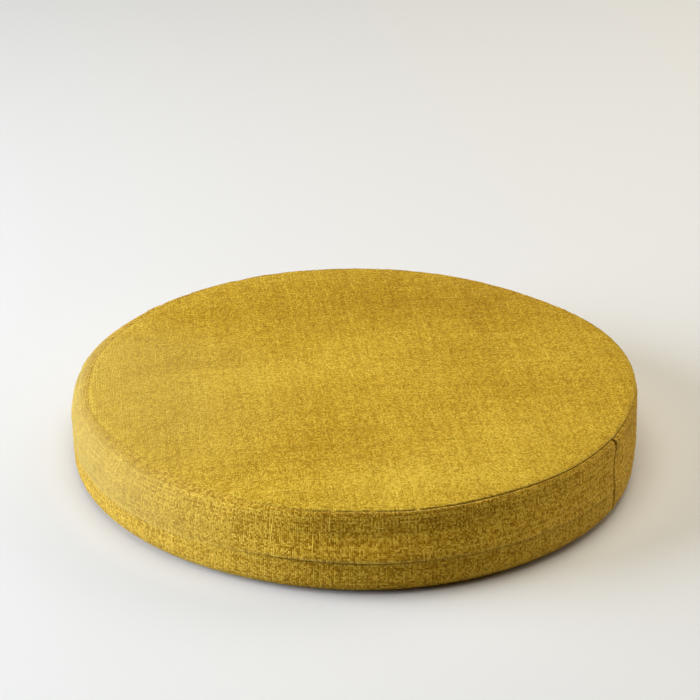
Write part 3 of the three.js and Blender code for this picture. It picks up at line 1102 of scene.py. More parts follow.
class NodeBench:
    """Adds nodes to one tree and links them, a call for each step of a pattern."""

    def __init__(self, tree: bpy.types.NodeTree) -> None:
        """Starts on a tree."""
        self.tree = tree

    def feed(self, socket: Socket, value: Value) -> None:
        """Links a socket to another, or sets its own value.

        Args:
            socket: the input to feed.
            value: the socket that it is linked to, or its value.
        """
        if isinstance(value, bpy.types.NodeSocket):
            self.tree.links.new(value, socket)
        else:
            socket.default_value = value

    def add(
        self, kind: str, inputs: Optional[dict[Union[int, str], Value]] = None, **settings: object
    ) -> bpy.types.Node:
        """Adds one node.

        Args:
            kind: the node's type.
            inputs: values or sockets by the name or number of the input they feed.
            **settings: the node's own properties.

        Returns:
            The node.
        """
        node = self.tree.nodes.new(kind)
        for name, value in settings.items():
            setattr(node, name, value)
        for key, value in (inputs or {}).items():
            self.feed(node.inputs[key], value)
        return node

    def math(self, operation: str, *values: Value) -> Socket:
        """Result of one operation on numbers."""
        return self.add("ShaderNodeMath", dict(enumerate(values)), operation=operation).outputs[0]

    def vector(self, operation: str, *values: Value, **inputs: Value) -> Socket:
        """Result of one operation on vectors."""
        fed = {**dict(enumerate(values)), **inputs}
        return self.add("ShaderNodeVectorMath", fed, operation=operation).outputs[0]

    def eased(self, value: Value, low: float, high: float, start: float = 0.0, end: float = 1.0) -> Socket:
        """Value taken smoothly from one range to another."""
        inputs = {"Value": value, "From Min": low, "From Max": high, "To Min": start, "To Max": end}
        return self.add("ShaderNodeMapRange", inputs, interpolation_type="SMOOTHSTEP").outputs[0]

    def noise(self, place: Value, scale: Value, detail: float = 2.0, roughness: float = 0.5) -> Socket:
        """Smooth noise from 0 to 1 at a place."""
        inputs = {"Vector": place, "Scale": scale, "Detail": detail, "Roughness": roughness}
        return self.add("ShaderNodeTexNoise", inputs).outputs[0]

    def swing(self, place: Value, scale: Value, detail: float = 2.0, roughness: float = 0.5) -> Socket:
        """Smooth noise about zero at a place."""
        return self.math("SUBTRACT", self.noise(place, scale, detail, roughness), 0.5)

    def draw(self, number: Value) -> Socket:
        """Random number from 0 to 1 that belongs to a number."""
        return self.add("ShaderNodeTexWhiteNoise", {"W": number}, noise_dimensions="1D").outputs[0]

    def mark(self, name: str) -> Socket:
        """Value of a mark of the mesh."""
        return self.add("ShaderNodeAttribute", attribute_name=name).outputs["Fac"]

    def point(self, x: Value = 0.0, y: Value = 0.0, z: Value = 0.0) -> Socket:
        """Vector of three numbers."""
        return self.add("ShaderNodeCombineXYZ", {0: x, 1: y, 2: z}).outputs[0]

    def mix(self, share: Value, first: Value, second: Value, blend: str = "MIX") -> Socket:
        """Colour between two, or one laid over the other."""
        inputs = {0: share, 6: first, 7: second}
        return self.add("ShaderNodeMix", inputs, data_type="RGBA", blend_type=blend).outputs[2]


def group_socket(
    tree: bpy.types.NodeTree, name: str, way: str, kind: str, value: Optional[Value] = None
) -> None:
    """Adds one named input or output to a node group.

    Args:
        tree: the group.
        name: the socket's name.
        way: INPUT or OUTPUT.
        kind: the socket's type without its NodeSocket prefix.
        value: its value where nothing is linked.
    """
    socket = tree.interface.new_socket(name=name, in_out=way, socket_type="NodeSocket" + kind)
    if value is not None:
        socket.default_value = value


@dataclass(frozen=True)
class LinenWeave:
    """Slubbed plain weave: yarns over and under each other, thick and thin, as a shader group."""

    name: str = "linen_weave"
    crimp: float = 0.45
    half: float = 0.44
    thick: float = 0.34
    least_half: float = 0.12
    own_half: float = 0.16
    roundness: float = 0.9
    missing_sink: float = 0.8
    lane_step: float = 3.7
    rank_shift: float = 0.37
    slub_rate: float = 0.2
    slub_middle: float = 0.42
    fleck_step: float = 1.37
    fleck_rate: float = 0.8
    bright_step: float = 2.11
    bright_rate: float = 0.045
    bright_lengths: tuple[float, float] = (0.42, 0.6)
    bright_ranks: tuple[float, float] = (0.84, 0.97)
    seeds: tuple[float, float] = (11.3, 57.9)
    drift_scale: float = 0.045
    shake_scale: float = 0.4
    shake_share: float = 0.32
    wobble_reach: float = 4.0
    fibre_scale: float = 3.1
    fibres: float = 0.35
    gap_heights: tuple[float, float] = (0.75, -0.1)

    def yarns(self, bench: NodeBench, across: Socket, along: Socket, seed: float, turn: float,
              spread: dict[str, Socket]) -> tuple[Socket, Socket]:
        """Height and tone of one set of parallel yarns.

        Args:
            bench: where the nodes go.
            across: place across the yarns, in yarns.
            along: place along them, in yarns of the other set.
            seed: sets this set of yarns apart from the other.
            turn: 0 or 1, whichever set is over at the first crossing.
            spread: the group's inputs, by name.

        Returns:
            Height, 1 and over on a raised yarn and under 0 where there is none, and tone, about 0.5.
        """
        index = bench.math("FLOOR", across)
        aside = bench.math("SUBTRACT", bench.math("SUBTRACT", across, index), 0.5)
        lane = bench.math("MULTIPLY_ADD", index, self.lane_step, seed)
        own = bench.draw(lane)
        rank = bench.draw(bench.math("ADD", lane, self.rank_shift))
        slub = bench.noise(bench.point(lane, bench.math("MULTIPLY", along, self.slub_rate)), 1.0, 1.0)
        swell = bench.math("MULTIPLY", bench.math("SUBTRACT", slub, self.slub_middle), spread["Unevenness"])
        own_swell = bench.math("MULTIPLY", bench.math("SUBTRACT", own, 0.5), self.own_half)
        half = bench.math("ADD", bench.math("MULTIPLY_ADD", swell, self.thick, self.half), own_swell)
        ratio = bench.math("DIVIDE", aside, bench.math("MAXIMUM", half, self.least_half))
        left = bench.math("SUBTRACT", 1.0, bench.math("MULTIPLY", ratio, ratio))
        rounded = bench.math("SQRT", bench.math("MAXIMUM", left, 0.0))
        missing = bench.math("LESS_THAN", left, 0.0)
        half_turns = bench.math("ADD", bench.math("ADD", along, index), turn - 0.5)
        wave = bench.math("COSINE", bench.math("MULTIPLY", half_turns, math.pi))
        lift = bench.math("MULTIPLY_ADD", wave, self.crimp, bench.math("MULTIPLY", rounded, self.roundness))
        height = bench.math("SUBTRACT", lift, bench.math("MULTIPLY", missing, self.missing_sink))
        fleck_place = bench.point(bench.math("MULTIPLY", lane, self.fleck_step),
                                  bench.math("MULTIPLY", along, self.fleck_rate))
        fleck = bench.swing(fleck_place, 1.0, 2.0, 0.6)
        tone = bench.math("MULTIPLY_ADD", bench.math("SUBTRACT", own, 0.5), spread["Streaks"], 0.5)
        length = bench.point(bench.math("MULTIPLY", lane, self.bright_step),
                             bench.math("MULTIPLY", along, self.bright_rate))
        shown = bench.eased(bench.noise(length, 1.0, 1.0), *self.bright_lengths)
        bright = bench.math("MULTIPLY", bench.eased(rank, *self.bright_ranks), shown)
        tone = bench.math("MULTIPLY_ADD", bright, spread["Bright Yarns"], tone)
        return height, bench.math("MULTIPLY_ADD", fleck, spread["Flecks"], tone)

    def build(self) -> bpy.types.NodeTree:
        """Builds the group.

        Returns:
            The shader group, with Tone, Gap and Height as its outputs.
        """
        tree = bpy.data.node_groups.new(self.name, "ShaderNodeTree")
        group_socket(tree, "Cloth", "INPUT", "Vector")
        numbers = {"Pitch": 1.2 * MM, "Wander": 0.8, "Unevenness": 1.0, "Flecks": 1.0, "Streaks": 0.3,
                   "Bright Yarns": 0.2, "Speckle": 0.4}
        for name, value in numbers.items():
            group_socket(tree, name, "INPUT", "Float", value)
        for name in ("Tone", "Gap", "Height"):
            group_socket(tree, name, "OUTPUT", "Float")
        bench = NodeBench(tree)
        source = bench.add("NodeGroupInput").outputs
        per_yarn = bench.math("DIVIDE", 1.0, source["Pitch"])
        yarns = bench.vector("SCALE", source["Cloth"], Scale=per_yarn)
        drift = self.wobble(bench, yarns, self.drift_scale, source["Wander"])
        less = bench.math("MULTIPLY", source["Wander"], self.shake_share)
        shake = self.wobble(bench, yarns, self.shake_scale, less)
        bent = bench.vector("ADD", bench.vector("ADD", yarns, drift), shake)
        split = bench.add("ShaderNodeSeparateXYZ", {0: bent}).outputs
        over, over_tone = self.yarns(bench, split[0], split[1], self.seeds[0], 0.0, source)
        under, under_tone = self.yarns(bench, split[1], split[0], self.seeds[1], 1.0, source)
        height = bench.math("MAXIMUM", over, under)
        tones = {0: bench.math("GREATER_THAN", over, under), 2: under_tone, 3: over_tone}
        tone = bench.add("ShaderNodeMix", tones, data_type="FLOAT").outputs[0]
        crossing = bench.vector("FLOOR", bent)
        own = bench.add("ShaderNodeTexWhiteNoise", {"Vector": crossing}, noise_dimensions="2D").outputs[0]
        tone = bench.math("MULTIPLY_ADD", bench.math("SUBTRACT", own, 0.5), source["Speckle"], tone)
        fibres = bench.swing(bent, self.fibre_scale, 2.0, 0.6)
        bench.add("NodeGroupOutput", {
            "Tone": bench.math("MULTIPLY_ADD", fibres, self.fibres, tone),
            "Gap": bench.eased(height, *self.gap_heights),
            "Height": bench.math("MULTIPLY_ADD", fibres, self.fibres, height)})
        return tree

    def wobble(self, bench: NodeBench, place: Socket, scale: float, strength: Value) -> Socket:
        """Soft sideways wander of the yarns, a vector in yarns.

        Args:
            bench: where the nodes go.
            place: place on the cloth, in yarns.
            scale: how close the wander's waves are.
            strength: how far it goes.

        Returns:
            The vector.
        """
        noise = bench.add("ShaderNodeTexNoise", {"Vector": place, "Scale": scale, "Detail": 1.0})
        centred = bench.vector("SUBTRACT", noise.outputs["Color"], (0.5, 0.5, 0.5))
        return bench.vector("SCALE", centred, Scale=bench.math("MULTIPLY", strength, self.wobble_reach))


class Tint(Enum):
    """Linear colours of the yarns, threads and floor, and of the painted sheen, shade and highlight."""

    DARK_YARN = (0.30, 0.150, 0.002, 1.0)
    WARM_YARN = (0.82, 0.475, 0.0, 1.0)
    LIGHT_YARN = (0.82, 0.575, 0.075, 1.0)
    # Pale colour of the painted sheen on the side towards the main light.
    PAINTED_SHEEN = (0.49, 0.37, 0.115, 1.0)
    TOP_DYE = (0.985, 1.0, 0.95, 1.0)
    # Warmer, browner strips: painted shade of the upright sides, which lie less in the light than the top.
    STRIP_PAINTED_SHADE = (1.0, 0.935, 0.84, 1.0)
    # Painted shade in seams, the lap's slit, the join and between the yarns, and on the stitches.
    PAINTED_SHADE = (0.085, 0.036, 0.002, 1.0)
    # Wear and painted highlight on fold edges, seam rims and the join's flap.
    WEAR_AND_HIGHLIGHT = (0.84, 0.65, 0.18, 1.0)
    THREAD = (0.70, 0.44, 0.035, 1.0)
    SHEEN = (1.0, 0.92, 0.72, 1.0)
    FLOOR = (0.70, 0.70, 0.70, 1.0)


@dataclass(frozen=True)
class LinenFinish:
    """Mustard linen-look cloth of one panel, its colour carrying painted light, shade, sheen and highlight.
    """

    name: str
    dye_and_shade: Tint = Tint.TOP_DYE
    pitch: float = 1.25 * MM
    wander: float = 0.8
    unevenness: float = 1.0
    flecks: float = 0.9
    streaks: float = 0.12
    bright: float = 0.12
    speckle: float = 0.35
    mottle: float = 0.11
    painted_shading: float = 0.13
    grain: float = 0.25
    grain_scale: float = 330.0
    broad_scale: float = 14.0
    close_scale: float = 70.0
    close_share: float = 0.6
    patch_middle: float = 0.8
    tones: tuple[float, float] = (0.05, 0.95)
    roughnesses: tuple[float, float] = (0.78, 0.95)
    # gap_shade and seam_shade paint shade between the yarns and in the seams; calm flattens painted sheen.
    gap_shade: float = 0.26
    calm: float = 0.8
    seam_shade: float = 0.82
    wear_and_highlight_share: float = 0.24
    bump: float = 0.42 * MM
    sheen: float = 0.05

    def build(self, weave: bpy.types.NodeTree) -> bpy.types.Material:
        """Builds the material.

        Args:
            weave: the shared weave group.

        Returns:
            The material.
        """
        material = bpy.data.materials.new(self.name)
        material.use_nodes = True
        bench = NodeBench(material.node_tree)
        surface = material.node_tree.nodes["Principled BSDF"]
        cloth = bench.add("ShaderNodeUVMap", uv_map="cloth").outputs[0]
        woven = bench.add("ShaderNodeGroup", node_tree=weave)
        inputs = {"Cloth": cloth, "Pitch": self.pitch, "Wander": self.wander,
                  "Unevenness": self.unevenness, "Flecks": self.flecks, "Streaks": self.streaks,
                  "Bright Yarns": self.bright, "Speckle": self.speckle}
        for name, value in inputs.items():
            bench.feed(woven.inputs[name], value)
        place = bench.add("ShaderNodeTexCoord").outputs["Object"]
        broad = bench.noise(place, self.broad_scale, 2.0)
        close = bench.noise(place, self.close_scale, 3.0, 0.6)
        both = bench.math("MULTIPLY_ADD", close, self.close_share, broad)
        patchy = bench.math("SUBTRACT", both, self.patch_middle)
        tone = bench.math("MULTIPLY_ADD", patchy, self.mottle * 2, woven.outputs["Tone"])
        # Painted light and shade from the mesh's mark.
        tone = bench.math("MULTIPLY_ADD", bench.mark("painted_shading"), self.painted_shading, tone)
        tone = bench.math("MULTIPLY_ADD", bench.swing(cloth, self.grain_scale, 1.0, 0.6), self.grain, tone)
        # Painted sheen: the side towards the main light is made paler, less saturated and flatter in tone.
        fade = bench.mark("fade")
        contrast = bench.math("MULTIPLY_ADD", fade, -self.calm, 1.0)
        tone = bench.math("MULTIPLY_ADD", bench.math("SUBTRACT", tone, 0.5), contrast, 0.5)
        share = bench.eased(tone, *self.tones)
        light = bench.mix(share, Tint.WARM_YARN.value, Tint.LIGHT_YARN.value)
        colour = bench.mix(share, Tint.DARK_YARN.value, light)
        # The panel's dye; on the strips a warmer, browner painted shade.
        colour = bench.mix(1.0, colour, self.dye_and_shade.value, "MULTIPLY")
        colour = bench.mix(fade, colour, Tint.PAINTED_SHEEN.value)
        # Painted shade between the yarns and in the seams, the lap's slit and the join.
        gap = woven.outputs["Gap"]
        shaded = bench.math("MAXIMUM", bench.math("MULTIPLY", gap, self.gap_shade),
                            bench.math("MULTIPLY", bench.mark("painted_seam_shade"), self.seam_shade))
        colour = bench.mix(shaded, colour, Tint.PAINTED_SHADE.value)
        # Wear and painted highlight on fold edges, seam rims and the join's flap.
        wear_and_highlight_share = bench.math("MULTIPLY", bench.mark("fold_wear_and_highlight"), self.wear_and_highlight_share)
        bench.feed(surface.inputs["Base Color"], bench.mix(wear_and_highlight_share, colour, Tint.WEAR_AND_HIGHLIGHT.value))
        bench.feed(surface.inputs["Roughness"], bench.eased(gap, 0.0, 1.0, *self.roughnesses))
        surface.inputs["Specular IOR Level"].default_value = CLOTH_SPECULAR
        surface.inputs["Sheen Weight"].default_value = self.sheen
        surface.inputs["Sheen Roughness"].default_value = SHEEN_ROUGHNESS
        surface.inputs["Sheen Tint"].default_value = Tint.SHEEN.value
        bump = bench.add("ShaderNodeBump", {"Height": woven.outputs["Height"], "Distance": self.bump,
                                            "Strength": 1.0})
        bench.feed(surface.inputs["Normal"], bump.outputs[0])
        return material


@dataclass(frozen=True)
class YarnFinish:
    """Loose or raised yarn and thread, its tone read from the piece's own mark."""

    name: str
    dark: Tint = Tint.DARK_YARN
    light: Tint = Tint.LIGHT_YARN
    twist_scale: float = 1500.0
    twist: float = 0.35
    roughness: float = 0.85
    sheen: float = 0.2

    def build(self) -> bpy.types.Material:
        """Builds the material.

        Returns:
            The material.
        """
        material = bpy.data.materials.new(self.name)
        material.use_nodes = True
        bench = NodeBench(material.node_tree)
        surface = material.node_tree.nodes["Principled BSDF"]
        place = bench.add("ShaderNodeTexCoord").outputs["Object"]
        fibres = bench.swing(place, self.twist_scale)
        tone = bench.math("MULTIPLY_ADD", fibres, self.twist, bench.mark("tone"))
        bench.feed(surface.inputs["Base Color"], bench.mix(
            bench.eased(tone, 0.0, 1.0), self.dark.value, self.light.value))
        surface.inputs["Roughness"].default_value = self.roughness
        surface.inputs["Specular IOR Level"].default_value = CLOTH_SPECULAR
        surface.inputs["Sheen Weight"].default_value = self.sheen
        surface.inputs["Sheen Roughness"].default_value = SHEEN_ROUGHNESS
        return material


class Growth:
    """Geometry Nodes trees that grow yarns, stitches and fibres from a carrier mesh.

    The fibre's root, middle and tip are shares of its length: up the fibre, and aside for the tip.
    """

    yarn_sides = 5
    bead_segments = 6
    bead_rings = 4
    fibre_root = -0.1
    fibre_middle = 0.6
    fibre_tip = (0.6, 0.8)
    fibre_sizes = (0.5, 1.3)
    size_seed_step = 7

    @staticmethod
    def start(
        name: str, numbers: dict[str, float]
    ) -> tuple[bpy.types.NodeTree, NodeBench, bpy.types.NodeOutputs]:
        """Starts a tree with a geometry input, named numbers, a seed and a material.

        Args:
            name: the tree's name.
            numbers: its number inputs by name.

        Returns:
            The tree, a bench on it and its input sockets.
        """
        tree = bpy.data.node_groups.new(name, "GeometryNodeTree")
        group_socket(tree, "Geometry", "INPUT", "Geometry")
        for label, value in numbers.items():
            group_socket(tree, label, "INPUT", "Float", value)
        group_socket(tree, "Seed", "INPUT", "Int", 1)
        group_socket(tree, "Material", "INPUT", "Material")
        group_socket(tree, "Geometry", "OUTPUT", "Geometry")
        bench = NodeBench(tree)
        return tree, bench, bench.add("NodeGroupInput").outputs

    @staticmethod
    def finish(bench: NodeBench, grown: Socket, material: Socket) -> None:
        """Smooths, realizes and dresses what has grown, as the tree's output.

        Args:
            bench: where the nodes go.
            grown: what has grown.
            material: its material.
        """
        smooth = bench.add("GeometryNodeSetShadeSmooth", {"Geometry": grown}).outputs[0]
        solid = bench.add("GeometryNodeRealizeInstances", {"Geometry": smooth}).outputs[0]
        dressed = bench.add("GeometryNodeSetMaterial", {"Geometry": solid, "Material": material}).outputs[0]
        bench.add("NodeGroupOutput", {"Geometry": dressed})

    @classmethod
    def yarn_sweep(cls) -> bpy.types.NodeTree:
        """Tree that sweeps each polyline of the carrier into a yarn as thick as its own mark.

        Returns:
            The tree.
        """
        tree, bench, source = cls.start("yarn_sweep", {})
        lines = bench.add("GeometryNodeMeshToCurve", {"Mesh": source["Geometry"]}).outputs[0]
        ring = bench.add("GeometryNodeCurvePrimitiveCircle", {
            "Resolution": cls.yarn_sides, "Radius": 1.0}).outputs[0]
        thick = bench.add("GeometryNodeInputNamedAttribute", {"Name": "thickness"}, data_type="FLOAT")
        swept = bench.add("GeometryNodeCurveToMesh", {
            "Curve": lines, "Profile Curve": ring, "Scale": thick.outputs[0], "Fill Caps": True}).outputs[0]
        cls.finish(bench, swept, source["Material"])
        return tree

    @classmethod
    def stitch_row(cls) -> bpy.types.NodeTree:
        """Tree that lays one stitch after another along each polyline of the carrier.

        Returns:
            The tree.
        """
        tree, bench, source = cls.start("stitch_row", {
            "Pitch": 3.2 * MM, "Stitch Length": 2.3 * MM, "Stitch Width": 0.42 * MM, "Yaw": 6.0})
        lines = bench.add("GeometryNodeMeshToCurve", {"Mesh": source["Geometry"]}).outputs[0]
        spaced = bench.add("GeometryNodeResampleCurve", {
            "Curve": lines, "Length": source["Pitch"]}, mode="LENGTH").outputs[0]
        bead = bench.add("GeometryNodeMeshUVSphere", {
            "Segments": cls.bead_segments, "Rings": cls.bead_rings, "Radius": 0.5}).outputs[0]
        size = bench.point(source["Stitch Length"], source["Stitch Width"], source["Stitch Width"])
        stitch = bench.add("GeometryNodeTransform", {"Geometry": bead, "Scale": size}).outputs[0]
        along = bench.add("GeometryNodeInputTangent").outputs[0]
        lined = bench.add("FunctionNodeAlignRotationToVector", {"Vector": along}, axis="X").outputs[0]
        yaw = bench.math("RADIANS", source["Yaw"])
        random_yaw = bench.add("FunctionNodeRandomValue", {
            2: bench.math("MULTIPLY", yaw, -1.0), 3: yaw, "Seed": source["Seed"]}, data_type="FLOAT")
        turned = bench.add("FunctionNodeRotateRotation", {
            "Rotation": lined, "Rotate By": bench.point(z=random_yaw.outputs[1])},
            rotation_space="LOCAL").outputs[0]
        row = bench.add("GeometryNodeInstanceOnPoints", {
            "Points": spaced, "Instance": stitch, "Rotation": turned}).outputs[0]
        cls.finish(bench, row, source["Material"])
        return tree

    @classmethod
    def fuzz(cls) -> bpy.types.NodeTree:
        """Tree that scatters short bent fibres over the carrier's faces.

        Returns:
            The tree.
        """
        tree, bench, source = cls.start("fuzz", {
            "Density": 11000.0, "Length": 1.6 * MM, "Radius": 0.035 * MM, "Tilt": 62.0})
        points = bench.add("GeometryNodeDistributePointsOnFaces", {
            "Mesh": source["Geometry"], "Density": source["Density"], "Seed": source["Seed"]})
        length = source["Length"]
        root = bench.point(z=bench.math("MULTIPLY", length, cls.fibre_root))
        middle = bench.point(z=bench.math("MULTIPLY", length, cls.fibre_middle))
        aside, up = (bench.math("MULTIPLY", length, share) for share in cls.fibre_tip)
        tip = bench.point(x=aside, z=up)
        bend = bench.add("GeometryNodeCurveQuadraticBezier", {
            "Resolution": 3, "Start": root, "Middle": middle, "End": tip}).outputs[0]
        ring = bench.add("GeometryNodeCurvePrimitiveCircle", {
            "Resolution": 3, "Radius": source["Radius"]}).outputs[0]
        fibre = bench.add("GeometryNodeCurveToMesh", {
            "Curve": bend, "Profile Curve": ring, "Fill Caps": True}).outputs[0]
        tilt = bench.math("RADIANS", source["Tilt"])
        back = bench.math("MULTIPLY", tilt, -1.0)
        lean = bench.add("FunctionNodeRandomValue", {
            0: bench.point(back, back, -math.pi), 1: bench.point(tilt, tilt, math.pi),
            "Seed": source["Seed"]}, data_type="FLOAT_VECTOR")
        turned = bench.add("FunctionNodeRotateRotation", {
            "Rotation": points.outputs["Rotation"], "Rotate By": lean.outputs[0]}, rotation_space="LOCAL")
        size_seed = bench.add("FunctionNodeIntegerMath", {
            0: source["Seed"], 1: cls.size_seed_step}, operation="ADD").outputs[0]
        size = bench.add("FunctionNodeRandomValue", {
            2: cls.fibre_sizes[0], 3: cls.fibre_sizes[1], "Seed": size_seed}, data_type="FLOAT")
        grown = bench.add("GeometryNodeInstanceOnPoints", {
            "Points": points.outputs["Points"], "Instance": fibre, "Rotation": turned.outputs[0],
            "Scale": size.outputs[1]}).outputs[0]
        cls.finish(bench, grown, source["Material"])
        return tree

    @staticmethod
    def grow(
        name: str, carrier: bpy.types.Mesh, tree: bpy.types.NodeTree, inputs: dict[str, object]
    ) -> bpy.types.Object:
        """Grows a piece from its carrier and makes it a plain mesh.

        Args:
            name: the piece's name.
            carrier: the mesh that it grows from, which the piece takes over and drops.
            tree: the tree to grow it by.
            inputs: the tree's inputs by name.

        Returns:
            The piece, at the origin and without modifiers.
        """
        piece = add_object(name, carrier)
        modifier = piece.modifiers.new("growth", "NODES")
        modifier.node_group = tree
        for item in tree.interface.items_tree:
            if item.item_type == "SOCKET" and item.in_out == "INPUT" and item.name in inputs:
                modifier[item.identifier] = inputs[item.name]
        graph = bpy.context.evaluated_depsgraph_get()
        grown = piece.evaluated_get(graph)
        mesh = bpy.data.meshes.new_from_object(grown, preserve_all_data_layers=True, depsgraph=graph)
        piece.modifiers.remove(modifier)
        piece.data = mesh
        mesh.name = name
        bpy.data.meshes.remove(carrier)
        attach(piece, BODY)
        log.info("%s: %d points, %d faces", name, len(mesh.vertices), len(mesh.polygons))
        return piece


class Line(NamedTuple):
    """Polyline of a yarn or a seam: its points, their half-thickness and their tone."""

    points: list[Vector]
    thickness: list[float]
    tones: list[float]


def carrier_mesh(name: str, lines: Sequence[Line], closed: bool = False) -> bpy.types.Mesh:
    """Mesh of loose polylines with their marks.

    Args:
        name: the mesh's name.
        lines: the polylines.
        closed: whether each one's end meets its start.

    Returns:
        The mesh.
    """
    points, edges = [], []
    for line in lines:
        first, count = len(points), len(line.points)
        points.extend(line.points)
        edges.extend((first + index, first + index + 1) for index in range(count - 1))
        if closed:
            edges.append((first + count - 1, first))
    mesh = bpy.data.meshes.new(name + "_lines")
    mesh.from_pydata(points, edges, [])
    add_mark(mesh, "thickness", [half for line in lines for half in line.thickness])
    add_mark(mesh, "tone", [tone for line in lines for tone in line.tones])
    return mesh


class Slub(NamedTuple):
    """Raised yarn seen in the cloth: its middle on the strip or the top, length, half-thickness and tone.

    On a strip the place is a bearing and a height, on the top it is x and y; upright tells a yarn that
    runs up the strip, or towards the back on the top.
    """

    panel: Panel
    first: float
    second: float
    upright: bool
    length: float
    thickness: float
    tone: float


SEEN_SLUBS = (
    Slub(Panel.UPPER_STRIP, 254.6, 46 * MM, True, 24 * MM, 0.42 * MM, 1.2),
    Slub(Panel.UPPER_STRIP, 262.6, 40 * MM, True, 18 * MM, 0.38 * MM, 1.05),
    Slub(Panel.UPPER_STRIP, 265.6, 54 * MM, True, 14 * MM, 0.45 * MM, 1.3),
    Slub(Panel.UPPER_STRIP, 275.6, 50.5 * MM, False, 9 * MM, 0.36 * MM, 1.1),
    Slub(Panel.UPPER_STRIP, 281.0, 55 * MM, False, 16 * MM, 0.32 * MM, 1.0),
    Slub(Panel.LOWER_STRIP, 262.9, 16 * MM, True, 11 * MM, 0.36 * MM, 1.1),
    Slub(Panel.TOP, 101.5 * MM, 107.5 * MM, False, 11 * MM, 0.3 * MM, 1.3),
)


@dataclass(frozen=True)
class SlubYarns:
    """Slubs of the linen look: thicker lengths of yarn that stand out of the cloth of top and strips."""

    name: str = "cover_slubs"
    seed: int = 41
    top_count: int = 420
    strip_count: int = 230
    top_reach: float = 198 * MM
    shortest: float = 5 * MM
    longest: float = 22 * MM
    thinnest: float = 0.17 * MM
    thickest: float = 0.33 * MM
    sunk: float = 0.35
    wander: float = 0.25 * MM
    point_gap: float = 2.2 * MM
    tones: tuple[float, float] = (0.3, 0.85)
    tone_jitter: float = 0.1
    upright_share: float = 0.5
    upright_most: float = 0.8
    join_clear: float = 1.5
    bend: float = 4.0
    end_share: float = 0.3
    end_power: float = 0.6
    upper_heights: tuple[float, float] = (35 * MM, 58 * MM)
    lower_heights: tuple[float, float] = (12 * MM, 23 * MM)

    def build(self, cover: Cover, skin: BVHTree, finish: bpy.types.Material) -> bpy.types.Object:
        """Places the yarns on the cover and grows them.

        Args:
            cover: the cover, for its seams and the turn of its weave.
            skin: the cover's surface.
            finish: the yarns' material.

        Returns:
            The piece.
        """
        dice = random.Random(self.seed)
        slubs = [*SEEN_SLUBS, *(self.scattered(dice, Panel.TOP) for _ in range(self.top_count)),
                 *(self.scattered(dice, Panel.UPPER_STRIP) for _ in range(self.strip_count)),
                 *(self.scattered(dice, Panel.LOWER_STRIP) for _ in range(self.strip_count // 3))]
        lines = [line for line in (self.line(dice, cover, skin, slub) for slub in slubs) if line]
        carrier = carrier_mesh(self.name, lines)
        return Growth.grow(self.name, carrier, Growth.yarn_sweep(), {"Material": finish})

    def scattered(self, dice: random.Random, panel: Panel) -> Slub:
        """One slub at a seeded random place of a panel.

        Args:
            dice: where its place and size are drawn from.
            panel: the panel.

        Returns:
            The slub.
        """
        length = self.shortest + (self.longest - self.shortest) * dice.random() ** 2
        thickness = dice.uniform(self.thinnest, self.thickest)
        tone, upright = dice.uniform(*self.tones), dice.random() < self.upright_share
        if panel is Panel.TOP:
            reach, turn = self.top_reach * math.sqrt(dice.random()), dice.uniform(0.0, 2 * math.pi)
            first, second = reach * math.cos(turn), reach * math.sin(turn)
            return Slub(panel, first, second, upright, length, thickness, tone)
        low, high = self.upper_heights if panel is Panel.UPPER_STRIP else self.lower_heights
        if upright:
            length = min(length, self.upright_most * (high - low))
            low, high = low + length / 2, high - length / 2
        first, second = dice.uniform(0.0, FULL_TURN), dice.uniform(low, high)
        return Slub(panel, first, second, upright, length, thickness, tone)

    def line(self, dice: random.Random, cover: Cover, skin: BVHTree, slub: Slub) -> Optional[Line]:
        """Polyline of a slub on the cover's surface.

        Args:
            dice: where its wander and tone are drawn from.
            cover: the cover.
            skin: the cover's surface.
            slub: the slub.

        Returns:
            The polyline, or None where it would cross the join or miss the cover.
        """
        shape = cover.shape
        on_strip = slub.panel in (Panel.UPPER_STRIP, Panel.LOWER_STRIP)
        spread = math.degrees(slub.length / 2 / shape.body_radius)
        if on_strip and abs(turn_between(slub.first, shape.join_bearing)) < self.join_clear + spread:
            return None
        count = max(4, round(slub.length / self.point_gap) + 1)
        phase = dice.uniform(0.0, 2 * math.pi)
        points, thickness, tones = [], [], []
        for index in range(count):
            share = index / (count - 1)
            along = (share - 0.5) * slub.length
            aside = self.wander * math.sin(phase + self.bend * share)
            hit, normal = self.on_skin(cover, skin, slub, along, aside)
            if hit is None:
                return None
            half = slub.thickness * lerp(self.end_share, 1.0, math.sin(math.pi * share) ** self.end_power)
            points.append(hit - normal * half * self.sunk)
            thickness.append(half)
            tones.append(slub.tone + dice.uniform(-self.tone_jitter, self.tone_jitter))
        return Line(points, thickness, tones)

    def on_skin(
        self, cover: Cover, skin: BVHTree, slub: Slub, along: float, aside: float
    ) -> tuple[Optional[Vector], Optional[Vector]]:
        """Place on the cover at a distance along and aside of a slub's middle, and the normal there.

        Args:
            cover: the cover.
            skin: the cover's surface.
            slub: the slub.
            along: metres along the yarn from its middle.
            aside: metres across it.

        Returns:
            The place and the normal, or None twice where there is no cover.
        """
        right, up = (aside, along) if slub.upright else (along, aside)
        if slub.panel in (Panel.UPPER_STRIP, Panel.LOWER_STRIP):
            around = math.radians(slub.first) + right / cover.shape.body_radius
            way = Vector((-math.cos(around), -math.sin(around), 0.0))
            source = Vector((0, 0, slub.second + up)) - way * 2 * cover.shape.body_radius
        else:
            turn = math.radians(cover.top_turn)
            x = slub.first + right * math.cos(turn) - up * math.sin(turn)
            y = slub.second + right * math.sin(turn) + up * math.cos(turn)
            way = Vector((0, 0, -1))
            source = Vector((x, y, 0.0)) - way * cover.shape.body_radius
        hit, normal, _, _ = skin.ray_cast(source, way)
        return hit, normal


